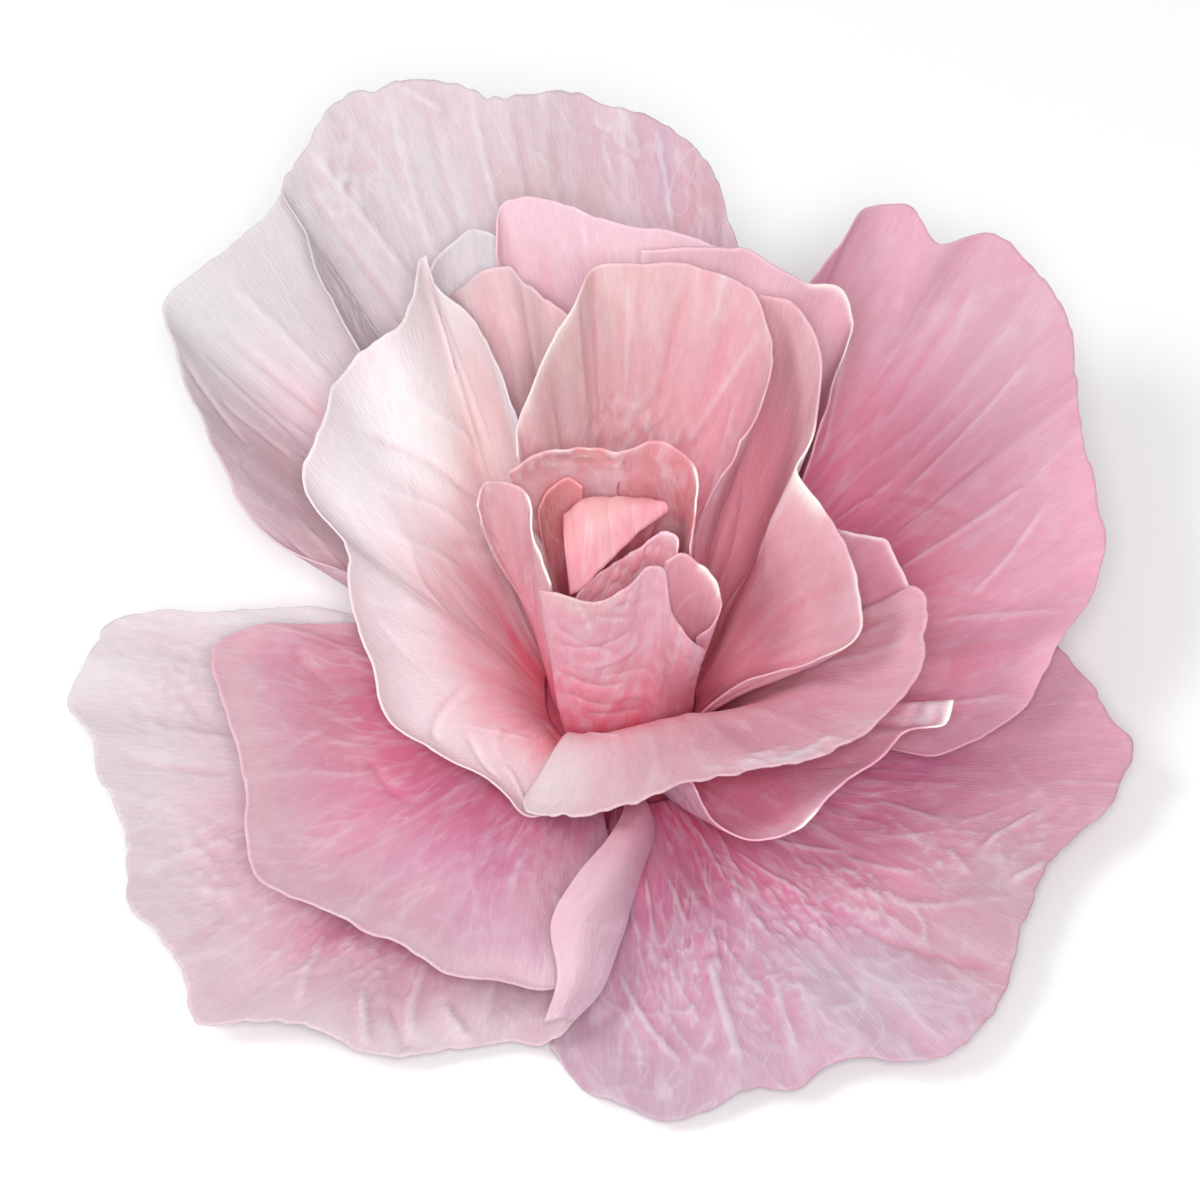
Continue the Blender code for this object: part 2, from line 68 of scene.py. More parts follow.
# Innermost first, because each petal lies outside those before it.
# foot: the glued arc, from the azimuth of the edge's first point to that of its last, then its
# radius at each (and halfway, where there are three).
# rise: slope of the paper where it leaves the disc, at the left, middle and right.
# tip: slope at the free edge. edge: the free edge, from one end to the other.
PETALS = {
    "heart_petal_1": dict(
        foot=(205, 125, 6.6, 6.6),
        rise=(84, 84, 84),
        tip=(78, 88, 88),
        paper="crepe_coral",
        edge=[(-13, 5, 38), (-13, 7, 43), (-11, 9, 45), (-8, 10, 46), (-6, 9, 45)],
    ),
    "heart_petal_2": dict(
        paper="crepe_coral",
        sections=[
            [(-4.3, 2.4, 2.1), (0, 4.6, 2.1), (4.3, 2.4, 2.1)],
            [(-6, 3, 22), (-0.5, 5.4, 22), (5.5, 3, 22)],
            [(-8, 4, 37), (-1, 6.4, 38), (6, 5, 39)],
            [(-9, 4.5, 43), (-6, 6, 45), (-1, 6.6, 45), (4, 6.2, 45), (8, 4.5, 46)],
            [(-9, 0, 42.5), (-5, 1.5, 45), (0, 3.5, 45.5), (5, 4.5, 45.5), (8.5, 4, 46)],
            [(-8, -7, 36), (-5, -6, 38), (-1, -3, 41), (4, 1, 43), (8.5, 3.5, 45)],
        ],
    ),
    "heart_petal_3": dict(
        foot=(-103, -17, 6, 6),
        rise=(82, 82, 82),
        tip=(84, 88, 86),
        paper="crepe_coral",
        edge=[(-9, -8, 33), (-4, -4, 37), (3, -1, 40), (8, 0, 44), (10, -2, 45), (10, -5, 44)],
    ),
    "bud_petal_back": dict(
        foot=(122, 28, 9, 9),
        rise=(80, 80, 80),
        tip=(80, 76, 92),
        paper="crepe_coral",
        edge=[(-16, 7, 50), (-12, 8, 52), (-6, 9, 53), (1, 9, 54), (8, 9, 56), (12, 6, 55), (13, -2, 52), (12, -7, 47)],
    ),
    "bud_petal_left": dict(
        foot=(235, 155, 11.2, 11.2),
        rise=(80, 78, 78),
        tip=(86, 84, 80),
        paper="crepe_coral",
        edge=[(-11, -10, 42), (-14, -3, 46), (-16, 4, 50), (-20, 6, 50), (-23, 4, 50), (-23, 0, 46)],
    ),
    "bud_petal_right": dict(
        foot=(-60, -8, 12, 12),
        rise=(78, 78, 78),
        tip=(76, 76, 76),
        paper="crepe_rose",
        edge=[(8, -11, 49), (11, -10, 50), (14, -11, 48), (16, -12, 45), (17, -13, 42), (16, -14, 37), (13, -14, 33)],
    ),
    "bud_petal_front": dict(
        foot=(-131, -32, 13.4, 13.6),
        rise=(82, 82, 82),
        tip=(86, 88, 88),
        paper="crepe_rose",
        edge=[(-13, -12, 43), (-10, -14, 44), (-7, -15, 44), (-3, -15, 44), (2, -14, 47), (5, -13, 50), (7, -13, 50), (8, -14, 46), (9, -15, 40), (12, -16, 35), (14, -14, 31)],
    ),
    "inner_petal_back": dict(
        foot=(128, 27, 12.2, 12.4),
        rise=(68, 66, 68),
        tip=(70, 72, 74),
        paper="crepe_blush",
        edge=[(-17, 15, 46), (-17, 19, 50), (-15, 21, 55), (-12, 27, 60), (-8, 32, 64), (-4, 39, 67), (4, 39, 68), (14, 38, 68), (23, 35, 65), (26, 28, 61), (24, 18, 57), (19, 10, 52), (14, 4, 46)],
    ),
    "inner_petal_right": dict(
        foot=(44, -51, 14.2, 13.5, 15.2),
        rise=(66, 68, 66),
        tip=(76, 70, 52),
        paper="crepe_rose",
        edge=[(16, 33, 62), (23, 34, 64), (28, 33, 65), (31, 29, 64), (34, 21, 61), (33, 15, 58), (32, 10, 55), (30, 5, 54), (33, 0, 52), (37, -6, 48), (40, -12, 44), (41, -17, 41), (39, -19, 38), (34, -19, 34), (28, -18, 30), (22, -17, 26)],
    ),
    "middle_petal_south": dict(
        foot=(-116, -2, 15.2, 17),
        rise=(84, 88, 62),
        tip=(20, 26, 52),
        pull=(0.6, 0.4),
        paper="crepe_blush",
        edge=[(-16, -36, 17), (-15, -40, 18), (-10, -42, 20), (-1, -43, 24), (4, -43, 26), (12, -40, 28), (19, -40, 29), (30, -38, 30), (40, -35, 32), (47, -28, 34), (50, -23, 36), (51, -15, 39), (51, -11, 40), (48, -9, 40)],
    ),
    "middle_petal_west": dict(
        foot=(240, 130, 14.8, 12.4, 12.8),
        rise=(74, 60, 60),
        tip=(54, 48, 50),
        pull=(0.42, 0.36),
        paper="crepe_white",
        edge=[(-7, -35, 16), (-15, -37, 15), (-20, -31, 14), (-29, -25, 16), (-38, -21, 20), (-42, -11, 25), (-45, 2, 30), (-46, 8, 32), (-50, 12, 34), (-53, 17, 36), (-51, 28, 40), (-46, 40, 43), (-39, 45, 45), (-33, 60, 48), (-30, 52, 48), (-28, 50, 48), (-22, 42, 46), (-17, 30, 42)],
    ),
    "inner_petal_north_west": dict(
        foot=(126, 104, 15.6, 16.2),
        rise=(56, 56, 58),
        tip=(62, 62, 66),
        paper="crepe_white",
        edge=[(-28, 44, 36), (-28, 50, 43), (-24, 54, 50), (-19, 55, 51), (-16, 51, 51), (-12, 45, 52), (-7, 41, 52)],
    ),
    "middle_petal_north_east": dict(
        foot=(87, 9, 15.4, 16.8),
        rise=(58, 56, 54),
        tip=(66, 66, 74),
        paper="crepe_blush",
        edge=[(4, 48, 62), (14, 48, 63), (21, 48, 62), (28, 45, 60), (32, 44, 58), (38, 44, 56), (40, 40, 54), (39, 34, 54), (37, 28, 53), (34, 18, 52), (32, 12, 50)],
    ),
    "middle_petal_north": dict(
        foot=(126, 62, 17.8, 17.4),
        rise=(58, 56, 56),
        tip=(64, 62, 66),
        paper="crepe_blush",
        edge=[(-21, 57, 52), (-20, 64, 56), (-12, 62, 60), (-5, 57, 61), (4, 53, 62), (12, 51, 62), (19, 49, 60)],
    ),
    "middle_petal_north_west": dict(
        foot=(146, 116, 19.4, 19.8),
        rise=(56, 54, 56),
        tip=(62, 62, 64),
        paper="crepe_white",
        edge=[(-35, 57, 42), (-31, 63, 45), (-26, 66, 48), (-20, 62, 50), (-16, 63, 47), (-13, 60, 42)],
    ),
    "middle_petal_east": dict(
        foot=(28, -34, 18.8, 18.8),
        rise=(48, 48, 48),
        tip=(66, 56, 50),
        paper="crepe_rose",
        edge=[(30, 3, 48), (35, 0, 45), (40, 1, 42), (45, 1, 40), (47, -2, 38), (49, -6, 36), (50, -14, 32)],
    ),
    "lower_petal_south_east": dict(
        foot=(-86, -12, 17.8, 21.4),
        rise=(26, 24, 30),
        tip=(44, 44, 36),
        paper="crepe_rose",
        edge=[(12, -34, 22), (13, -37, 20), (15, -40, 18), (19, -43, 17), (25, -45, 18), (30, -44, 20), (35, -39, 22), (43, -33, 24), (49, -28, 26), (55, -27, 27), (56, -24, 29)],
    ),
    "outer_petal_east": dict(
        foot=(-18, 66, 23.2, 20.8),
        rise=(24, 28, 32),
        tip=(24, 26, 40),
        paper="crepe_rose",
        edge=[(47, -21, 12), (53, -24, 14), (59, -22, 15), (65, -19, 17), (71, -14, 20), (74, -8, 24), (82, 6, 26), (83, 12, 28), (82, 23, 30), (80, 38, 32), (80, 49, 33), (79, 58, 35), (73, 69, 37), (66, 74, 39), (57, 71, 40), (51, 77, 43), (45, 76, 44), (39, 66, 44), (33, 57, 44)],
    ),
    "side_petal_south": dict(
        paper="crepe_blush",
        sections=[
            [(-4.6, -18.4, 2.1), (-2.0, -18.9, 2.1), (0.6, -19.0, 2.1)],
            [(1, -36, 15), (4, -36, 15), (6, -36, 9)],
            [(-2, -46, 19), (2, -46, 18), (4, -46, 11)],
            [(-7, -54, 20), (-2, -54, 19), (2, -54, 11)],
            [(-11, -61, 17), (-6, -60, 18), (0, -61, 10)],
            [(-10, -69, 12), (-7, -68, 13), (-3, -69, 8)],
            [(-12, -76, 10), (-10, -76, 11), (-7, -75, 9)],
        ],
    ),
    "lower_petal_south_west": dict(
        foot=(262, 172, 21.2, 19.6),
        rise=(30, 24, 28),
        tip=(28, 34, 28),
        paper="crepe_rose",
        edge=[(1, -50, 8), (-4, -60, 10), (-11, -68, 13), (-19, -68, 15), (-27, -69, 15), (-36, -65, 16), (-49, -59, 17), (-59, -52, 17), (-62, -45, 18), (-62, -36, 20), (-65, -25, 22), (-67, -17, 23), (-68, -8, 24), (-62, -3, 23), (-54, 0, 20), (-43, 4, 15)],
    ),
    "outer_petal_north": dict(
        foot=(56, 140, 23.6, 22.2),
        rise=(38, 36, 38),
        tip=(44, 28, 44),
        paper="crepe_white",
        edge=[(22, 66, 42), (19, 76, 45), (17, 83, 47), (12, 88, 48), (8, 91, 50), (1, 93, 51), (-8, 96, 52), (-15, 96, 52), (-21, 94, 52), (-27, 97, 53), (-39, 99, 52), (-48, 96, 50), (-56, 86, 46), (-59, 79, 44), (-56, 72, 43), (-53, 64, 42), (-49, 56, 40), (-45, 47, 38)],
    ),
    "outer_petal_west": dict(
        foot=(176, 114, 22.4, 25.2),
        rise=(26, 26, 26),
        tip=(34, 30, 32),
        paper="crepe_white",
        edge=[(-42, 11, 16), (-46, 11, 20), (-56, 14, 23), (-63, 18, 26), (-69, 28, 30), (-73, 38, 32), (-77, 50, 34), (-79, 61, 36), (-77, 64, 37), (-71, 68, 38), (-63, 78, 39), (-56, 86, 40), (-48, 90, 40)],
    ),
    "outer_petal_south_west": dict(
        foot=(256, 182, 24.8, 24.2, 24.2),
        rise=(18, 10, 14),
        tip=(6, 14, 8),
        paper="crepe_blush",
        edge=[(-7, -72, 8), (-11, -76, 7), (-19, -75, 5), (-31, -78, 5), (-41, -79, 5), (-48, -76, 6), (-57, -73, 6), (-63, -74, 6), (-69, -73, 6), (-71, -67, 7), (-77, -57, 8), (-81, -52, 9), (-82, -37, 10), (-88, -27, 12), (-90, -19, 13), (-94, -12, 14), (-90, -4, 16), (-86, 4, 16), (-69, 6, 16), (-55, 8, 14), (-44, 8, 12)],
    ),
    "outer_petal_south_east": dict(
        foot=(-92, -20, 25.4, 25.8),
        rise=(8, 8, 10),
        tip=(2, 6, 12),
        paper="crepe_blush",
        edge=[(-11, -75, 6), (-8, -81, 5), (-2, -86, 4), (3, -89, 4), (8, -91, 4), (15, -89, 4), (20, -86, 5), (28, -85, 5), (38, -81, 6), (46, -81, 6), (56, -79, 7), (63, -70, 7), (66, -61, 8), (69, -50, 8), (74, -40, 9), (81, -33, 10), (86, -25, 11), (87, -19, 12), (84, -16, 13), (81, -10, 14), (75, -2, 16)],
    ),
}

# How each petal's paper is dyed and worked. Places are (across, along): 0 to 1 from the edge's
# first point to its last, and from the foot to the edge.
# shades: the palette at each side. wash: soft fields of colour (across, along, their widths,
# colour, strength), many of them dye, some painted shade and painted light, marked at each petal. lit: stretches of cut
# edge painted with a highlight, as if catching the light (from, to, mm, strength).
# tone: how light the colour is, partly painted light: higher on the shaded inner petals, lower on the brightly lit
# outer ones. calm: places left uncrinkled. detail: ruffles, pleats, crush, folds and froth, in mm.
# wrinkles: strength of the painted highlights along crease lines. frost: pale mottling of crushed paper, and the
# strength of the painted highlights on crinkle crests.
LOOKS = {
    "heart_petal_1": dict(
        tone=1.04, shades=("coral", "coral"),
        wash=[(0.4, 0.9, 0.5, 0.2, (216, 140, 128), 0.7)],
        detail=dict(ruffle=(0.3, 8), crush=(0.05, 5, 9), creases=3),
    ),
    "heart_petal_2": dict(
        tone=0.92, shades=("coral", "coral"),
        wash=[
            # the pale field is a painted highlight on the top of the roll, the two deep fields painted shade below it
            (0.40, 0.84, 0.40, 0.12, (232, 178, 178), 0.9),
            (0.40, 0.62, 0.5, 0.10, (206, 110, 122), 0.7),
            (0.85, 0.75, 0.12, 0.2, (206, 100, 112), 0.6),
        ],
        detail=dict(ruffle=(0.2, 8), crush=(0.04, 6, 12), creases=2),
    ),
    "heart_petal_3": dict(
        tone=1.1, shades=("peach", "peach"),
        wash=[(0.55, 0.9, 0.5, 0.2, (232, 170, 178), 0.8)],
        frost=0.6,
        wrinkles=0.5,
        detail=dict(ruffle=(0.3, 7), crush=(0.12, 4, 7), creases=3, froth=[(0.55, 0.9, 0.5, 0.25, 0.40)]),
    ),
    "bud_petal_back": dict(
        tone=0.96, shades=("salmon", "coral"),
        # the deep coral field on the right is painted shade inside the bud's opening
        wash=[(0.25, 0.95, 0.25, 0.08, (222, 164, 164), 0.8), (0.65, 0.85, 0.2, 0.2, (204, 92, 100), 0.6)],
        lit=[(0.66, 0.88, 1.2, 0.9)],
        frost=0.3,
        detail=dict(ruffle=(0.3, 7), crush=(0.10, 5, 10), creases=4, froth=[(0.22, 0.97, 0.25, 0.08, 0.40)]),
    ),
    "bud_petal_left": dict(
        tone=0.92, shades=("peach", "salmon"),
        wash=[(0.4, 0.85, 0.5, 0.3, (216, 164, 168), 0.6)],
        lit=[(-0.04, 0.54, 1.7, 1.0)],
        detail=dict(ruffle=(0.2, 9), crush=(0.05, 5, 12), creases=3, froth=[(0.85, 0.97, 0.15, 0.06, 0.35)]),
    ),
    "bud_petal_right": dict(
        tone=1.0, shades=("peach", "peach"),
        wash=[(0.3, 0.85, 0.4, 0.2, (212, 142, 154), 0.7)],
        lit=[(0.24, 0.58, 1.3, 0.9)],
        detail=dict(ruffle=(0.15, 9), crush=(0.04, 6, 12), creases=2),
    ),
    "bud_petal_front": dict(
        tone=0.94, shades=("peach", "peach"),
        wash=[
            (0.30, 0.85, 0.35, 0.35, (218, 164, 176), 0.8),
            (0.15, 0.98, 0.12, 0.06, (226, 196, 190), 0.7),
            (0.75, 0.45, 0.15, 0.5, (202, 116, 136), 0.5),
        ],
        wrinkles=0.25,
        frost=0.25,
        detail=dict(
            ruffle=(0.2, 9),
            crush=(0.10, 8, 5),
            creases=0,
            froth=[(0.28, 0.96, 0.14, 0.08, 0.22)],
            folds=[
                ((0.02, 0.80), (0.34, 0.62), 0.6, 0.40),
                ((0.20, 0.93), (0.40, 0.78), 0.5, 0.42),
                ((0.30, 0.98), (0.44, 0.86), 0.5, -0.40),
                ((0.05, 0.66), (0.45, 0.72), 0.6, 0.36),
                ((0.10, 0.55), (0.50, 0.60), 0.7, -0.36),
                ((0.04, 0.46), (0.42, 0.40), 0.7, 0.36),
                ((0.24, 0.50), (0.62, 0.42), 0.7, 0.30),
                ((0.06, 0.34), (0.36, 0.28), 0.8, 0.34),
                ((0.30, 0.34), (0.70, 0.28), 0.7, -0.32),
                ((0.16, 0.24), (0.56, 0.22), 0.8, 0.34),
                ((0.16, 0.98), (0.22, 0.80), 0.5, 0.36),
                ((0.38, 0.98), (0.36, 0.84), 0.5, 0.30),
            ],
        ),
    ),
    "inner_petal_back": dict(
        tone=0.89, shades=("salmon", "peach"),
        wash=[
            (0.24, 0.76, 0.18, 0.40, (238, 206, 204), 0.9),
            (0.44, 0.58, 0.16, 0.18, (232, 184, 188), 0.7),
            (0.40, 0.92, 0.25, 0.12, (226, 184, 182), 0.6),
            (0.75, 0.70, 0.15, 0.3, (212, 150, 160), 0.5),
        ],
        lit=[(-0.04, 0.30, 1.8, 0.7)],
        wrinkles=0.25,
        frost=0.2,
        detail=dict(
            ruffle=(0.4, 14),
            pleat=(0.30, 5),
            crush=(0.05, 7, 34),
            creases=14,
            froth=[(0.36, 0.55, 0.16, 0.10, 0.36), (0.50, 0.50, 0.10, 0.06, 0.30)],
            folds=[
                ((0.27, 0.66), (0.27, 1.02), 0.6, 0.55),
                ((0.33, 0.60), (0.34, 1.02), 0.5, -0.45),
                ((0.40, 0.62), (0.41, 0.98), 0.5, 0.45),
                ((0.47, 0.55), (0.50, 0.96), 0.7, -0.40),
                ((0.56, 0.50), (0.66, 0.95), 1.4, 0.55),
                ((0.80, 0.40), (0.86, 0.85), 1.6, 0.55),
            ],
        ),
    ),
    "inner_petal_north_west": dict(
        tone=0.9, shades=("white", "salmon"),
        wash=[(0.5, 0.8, 0.5, 0.3, (226, 186, 188), 0.7)],
        wrinkles=0.3,
        detail=dict(ruffle=(0.4, 10), crush=(0.08, 6, 14), creases=6),
    ),
    "inner_petal_right": dict(
        tone=0.91, shades=("salmon", "peach"),
        wash=[
            # this bright pink field is painted light, lifting the shade of the trough between this petal and the back
            # one
            (0.16, 0.52, 0.20, 0.42, (255, 176, 194), 0.95),
            (0.18, 0.90, 0.2, 0.14, (222, 178, 184), 0.7),
            (0.58, 0.55, 0.16, 0.2, (202, 122, 138), 0.6),
            (0.68, 0.84, 0.16, 0.18, (206, 150, 162), 0.8),
        ],
        lit=[(0.36, 0.56, 2.4, 1.0), (0.62, 0.86, 0.9, 0.5)],
        wrinkles=0.15,
        frost=0.1,
        detail=dict(ruffle=(0.4, 12), pleat=(0.18, 7), crush=(0.05, 8, 24), creases=8, folds=[((0.46, 0.55), (0.47, 1.0), 1.2, 0.7), ((0.60, 0.45), (0.66, 0.98), 1.3, -0.5)]),
    ),
    "middle_petal_south": dict(
        tone=0.83, shades=("salmon", "peach"),
        wash=[
            (0.05, 0.80, 0.15, 0.45, (236, 222, 224), 0.95),
            (0.30, 0.78, 0.14, 0.25, (212, 172, 184), 0.8),
            (0.52, 0.72, 0.16, 0.25, (196, 134, 150), 0.7),
            (0.76, 0.72, 0.14, 0.25, (200, 136, 156), 0.6),
            (0.53, 0.95, 0.11, 0.05, (226, 208, 216), 0.9),
        ],
        wrinkles=0.2,
        frost=0.12,
        detail=dict(
            ruffle=(0.9, 13),
            pleat=(0.10, 9),
            crush=(0.06, 10, 14),
            creases=4,
            ragged=(0.9, 5),
            froth=[(0.54, 0.94, 0.11, 0.06, 0.55), (0.10, 0.92, 0.08, 0.06, 0.20)],
            folds=[((0.50, 0.97), (0.66, 0.90), 0.6, 0.6), ((0.48, 0.90), (0.58, 0.86), 0.6, 0.5), ((0.84, 0.5), (0.90, 0.98), 1.2, 0.4), ((0.88, 0.45), (0.95, 0.9), 0.8, 0.35)],
        ),
    ),
    "middle_petal_west": dict(
        tone=0.9, shades=("salmon", "snow"),
        wash=[
            (0.54, 0.85, 0.22, 0.24, (242, 238, 240), 0.95),
            (0.24, 0.82, 0.26, 0.24, (242, 226, 230), 0.9),
            # the three deep fields near the foot are painted shade of the crevice by the bud
            (0.50, 0.42, 0.20, 0.13, (210, 158, 162), 0.6),
            (0.60, 0.27, 0.14, 0.12, (198, 116, 128), 0.6),
            (0.22, 0.22, 0.14, 0.16, (206, 138, 152), 0.6),
            (0.80, 0.55, 0.10, 0.25, (222, 186, 180), 0.8),
            (0.90, 0.75, 0.06, 0.25, (214, 160, 160), 0.7),
            (0.70, 0.78, 0.1, 0.20, (238, 232, 232), 0.8),
        ],
        lit=[(0.12, 0.34, 0.9, 0.5)],
        wrinkles=0.15,
        frost=0.10,
        detail=dict(
            ruffle=(1.0, 15),
            pleat=(0.12, 9),
            crush=(0.07, 11, 24),
            creases=6,
            ragged=(0.8, 6),
            folds=[
                ((0.60, 0.86), (0.74, 0.42), 0.8, -0.85),
                ((0.61, 0.45), (0.77, 0.28), 0.7, -0.80),
                ((0.56, 0.78), (0.68, 0.40), 0.9, 0.60),
                ((0.66, 0.90), (0.78, 0.50), 0.7, 0.50),
                ((0.52, 0.70), (0.60, 0.36), 0.9, 0.40),
                ((0.82, 0.98), (0.86, 0.55), 1.0, -0.7),
                ((0.76, 0.98), (0.80, 0.60), 0.9, 0.6),
                ((0.18, 0.90), (0.30, 0.45), 0.6, -0.55),
                ((0.10, 0.92), (0.20, 0.62), 0.5, -0.50),
                ((0.04, 0.90), (0.12, 0.70), 0.5, 0.45),
                ((0.36, 0.95), (0.42, 0.60), 1.2, 0.45),
            ],
        ),
    ),
    "middle_petal_north_east": dict(
        tone=0.96, shades=("blush", "rose"),
        wash=[(0.6, 0.9, 0.25, 0.15, (224, 168, 180), 0.6)],
        lit=[(0.40, 0.75, 1.0, 0.7)],
        wrinkles=0.2,
        detail=dict(ruffle=(0.5, 14), pleat=(0.2, 5), crush=(0.05, 7, 24), creases=6),
    ),
    "middle_petal_north": dict(tone=0.94, shades=("blush", "blush"), wrinkles=0.3, detail=dict(ruffle=(0.5, 12), crush=(0.08, 8, 16), creases=6)),
    "middle_petal_north_west": dict(shades=("white", "white"), wrinkles=0.3, detail=dict(ruffle=(0.4, 10), crush=(0.08, 8, 16), creases=5)),
    "middle_petal_east": dict(
        tone=1.0, shades=("rose", "rose"),
        wash=[(0.5, 0.85, 0.5, 0.2, (218, 144, 164), 0.6)],
        lit=[(0.25, 0.9, 0.8, 0.5)],
        wrinkles=0.1,
        frost=0.05,
        detail=dict(ruffle=(0.4, 12), crush=(0.04, 7, 14), creases=4),
    ),
    "lower_petal_south_east": dict(
        tone=1.06, shades=("rose", "rose"),
        wash=[
            (0.44, 0.62, 0.30, 0.26, (226, 134, 162), 0.85),
            (0.40, 0.95, 0.25, 0.06, (214, 160, 176), 0.7),
            (0.10, 0.50, 0.08, 0.4, (208, 168, 196), 0.8),
            (0.96, 0.90, 0.06, 0.12, (234, 222, 230), 0.8),
        ],
        lit=[(0.38, 0.50, 1.2, 0.9), (0.86, 1.04, 1.6, 0.8)],
        wrinkles=0.25,
        frost=0.15,
        detail=dict(ruffle=(0.5, 12), crush=(0.05, 8, 16), creases=4, froth=[(0.12, 0.5, 0.08, 0.4, 0.4), (0.95, 0.88, 0.07, 0.14, 0.6)]),
    ),
    "outer_petal_east": dict(
        tone=0.9, shades=("rose", "rose"),
        wash=[
            (0.46, 0.42, 0.12, 0.12, (210, 104, 138), 0.8),
            (0.62, 0.50, 0.12, 0.14, (216, 132, 158), 0.6),
            (0.66, 0.84, 0.18, 0.2, (208, 166, 182), 0.85),
            (0.38, 0.75, 0.10, 0.16, (210, 156, 172), 0.6),
            (0.20, 0.88, 0.16, 0.08, (208, 146, 172), 0.7),
            (0.10, 0.62, 0.12, 0.16, (202, 112, 142), 0.6),
            (0.84, 0.80, 0.10, 0.2, (218, 168, 182), 0.6),
        ],
        wrinkles=0.12,
        frost=0.12,
        detail=dict(
            ruffle=(0.9, 20),
            pleat=(0.14, 9),
            crush=(0.08, 12, 30),
            creases=12,
            folds=[
                ((0.42, 0.40), (0.44, 0.86), 0.9, 0.5),
                ((0.50, 0.40), (0.52, 0.80), 0.8, -0.4),
                ((0.56, 0.45), (0.60, 0.92), 1.1, 0.5),
                ((0.70, 0.50), (0.72, 0.95), 1.3, -0.5),
                ((0.30, 0.50), (0.26, 0.98), 1.0, 0.4),
                ((0.12, 0.50), (0.16, 0.95), 1.2, 0.6),
            ],
        ),
    ),
    "side_petal_south": dict(
        shades=("blush", "lilac"),
        wash=[(0.35, 0.75, 0.5, 0.3, (224, 184, 196), 0.8)],
        wrinkles=0.25,
        detail=dict(ruffle=(0.2, 12), crush=(0.06, 6, 14), creases=5, froth=[(0.5, 0.95, 0.4, 0.05, 0.25)]),
    ),
    "lower_petal_south_west": dict(
        tone=0.85, shades=("lilac", "rose"),
        wash=[
            # the deep fields at (0.68, 0.40) and (0.40, 0.30) are painted shade under the lower edges of the petals
            # lying above this one
            (0.68, 0.40, 0.14, 0.20, (226, 104, 138), 0.8),
            (0.66, 0.94, 0.26, 0.08, (238, 198, 204), 0.85),
            (0.32, 0.95, 0.24, 0.07, (238, 202, 212), 0.85),
            (0.40, 0.30, 0.35, 0.16, (200, 104, 136), 0.7),
            (0.25, 0.45, 0.10, 0.12, (200, 124, 158), 0.6),
            (0.14, 0.65, 0.10, 0.2, (214, 164, 178), 0.6),
            (0.52, 0.85, 0.20, 0.12, (220, 178, 190), 0.7),
            (0.70, 0.62, 0.12, 0.15, (206, 142, 156), 0.6),
            (0.90, 0.7, 0.1, 0.25, (202, 128, 146), 0.6),
        ],
        wrinkles=0.35,
        frost=0.15,
        detail=dict(ruffle=(0.8, 18), pleat=(0.18, 8), crush=(0.12, 9, 26), creases=16, froth=[(0.22, 0.5, 0.08, 0.12, 0.2)]),
    ),
    "outer_petal_north": dict(
        tone=0.8, shades=("blush", "white"),
        wash=[
            (0.14, 0.85, 0.12, 0.25, (216, 174, 184), 0.8),
            (0.21, 0.90, 0.02, 0.12, (206, 180, 208), 0.7),
            (0.30, 0.90, 0.03, 0.12, (212, 188, 206), 0.6),
            (0.36, 0.76, 0.12, 0.18, (216, 182, 186), 0.8),
            (0.60, 0.76, 0.16, 0.22, (220, 212, 214), 0.9),
        ],
        wrinkles=0.55,
        frost=0.3,
        detail=dict(
            ruffle=(1.1, 15),
            pleat=(0.24, 7),
            crush=(0.14, 9, 24),
            creases=24,
            ragged=(0.9, 6),
            froth=[(0.66, 0.88, 0.05, 0.07, 0.5), (0.25, 0.93, 0.1, 0.06, 0.3), (0.84, 0.8, 0.06, 0.1, 0.3)],
            folds=[
                ((0.69, 1.02), (0.65, 0.62), 0.9, 0.9),
                ((0.72, 0.98), (0.70, 0.60), 0.7, -0.6),
                ((0.56, 1.00), (0.60, 0.66), 0.8, 0.9),
                ((0.52, 0.98), (0.56, 0.60), 0.9, -0.7),
                ((0.55, 0.99), (0.50, 0.93), 0.8, 0.9),
                ((0.46, 0.98), (0.48, 0.66), 0.8, 0.6),
                ((0.40, 1.00), (0.41, 0.70), 0.7, -0.6),
                ((0.80, 0.95), (0.76, 0.60), 0.9, 0.7),
                ((0.22, 1.00), (0.19, 0.76), 0.7, 0.6),
                ((0.30, 1.00), (0.28, 0.80), 0.6, 0.5),
            ],
        ),
    ),
    "outer_petal_west": dict(
        tone=0.9, shades=("blush", "snow"),
        wash=[
            (0.60, 0.90, 0.20, 0.2, (216, 214, 216), 0.9),
            (0.42, 0.94, 0.10, 0.1, (200, 182, 186), 0.7),
            (0.44, 0.66, 0.14, 0.24, (202, 158, 168), 0.8),
            (0.30, 0.80, 0.12, 0.2, (206, 176, 184), 0.6),
            (0.86, 0.85, 0.12, 0.2, (220, 212, 216), 0.8),
        ],
        wrinkles=0.35,
        frost=0.10,
        detail=dict(
            ruffle=(0.9, 18),
            pleat=(0.12, 9),
            crush=(0.10, 11, 26),
            creases=10,
            folds=[
                ((0.53, 0.99), (0.42, 0.82), 0.7, -0.6),
                ((0.65, 0.88), (0.67, 0.56), 0.8, -0.7),
                ((0.58, 0.92), (0.56, 0.60), 0.7, 0.5),
                ((0.72, 0.96), (0.74, 0.60), 0.8, 0.5),
                ((0.50, 0.90), (0.50, 0.62), 0.7, -0.4),
            ],
        ),
    ),
    "outer_petal_south_west": dict(
        tone=0.81, shades=("blush", "snow"),
        wash=[
            # the deep fields at (0.28, 0.62) and (0.36, 0.48) are a painted shadow cast by the petal lying over this
            # one
            (0.28, 0.62, 0.26, 0.12, (212, 104, 144), 0.85),
            (0.13, 0.90, 0.10, 0.12, (242, 228, 232), 0.9),
            (0.60, 0.94, 0.16, 0.10, (236, 226, 228), 0.85),
            (0.20, 0.80, 0.10, 0.14, (194, 146, 162), 0.7),
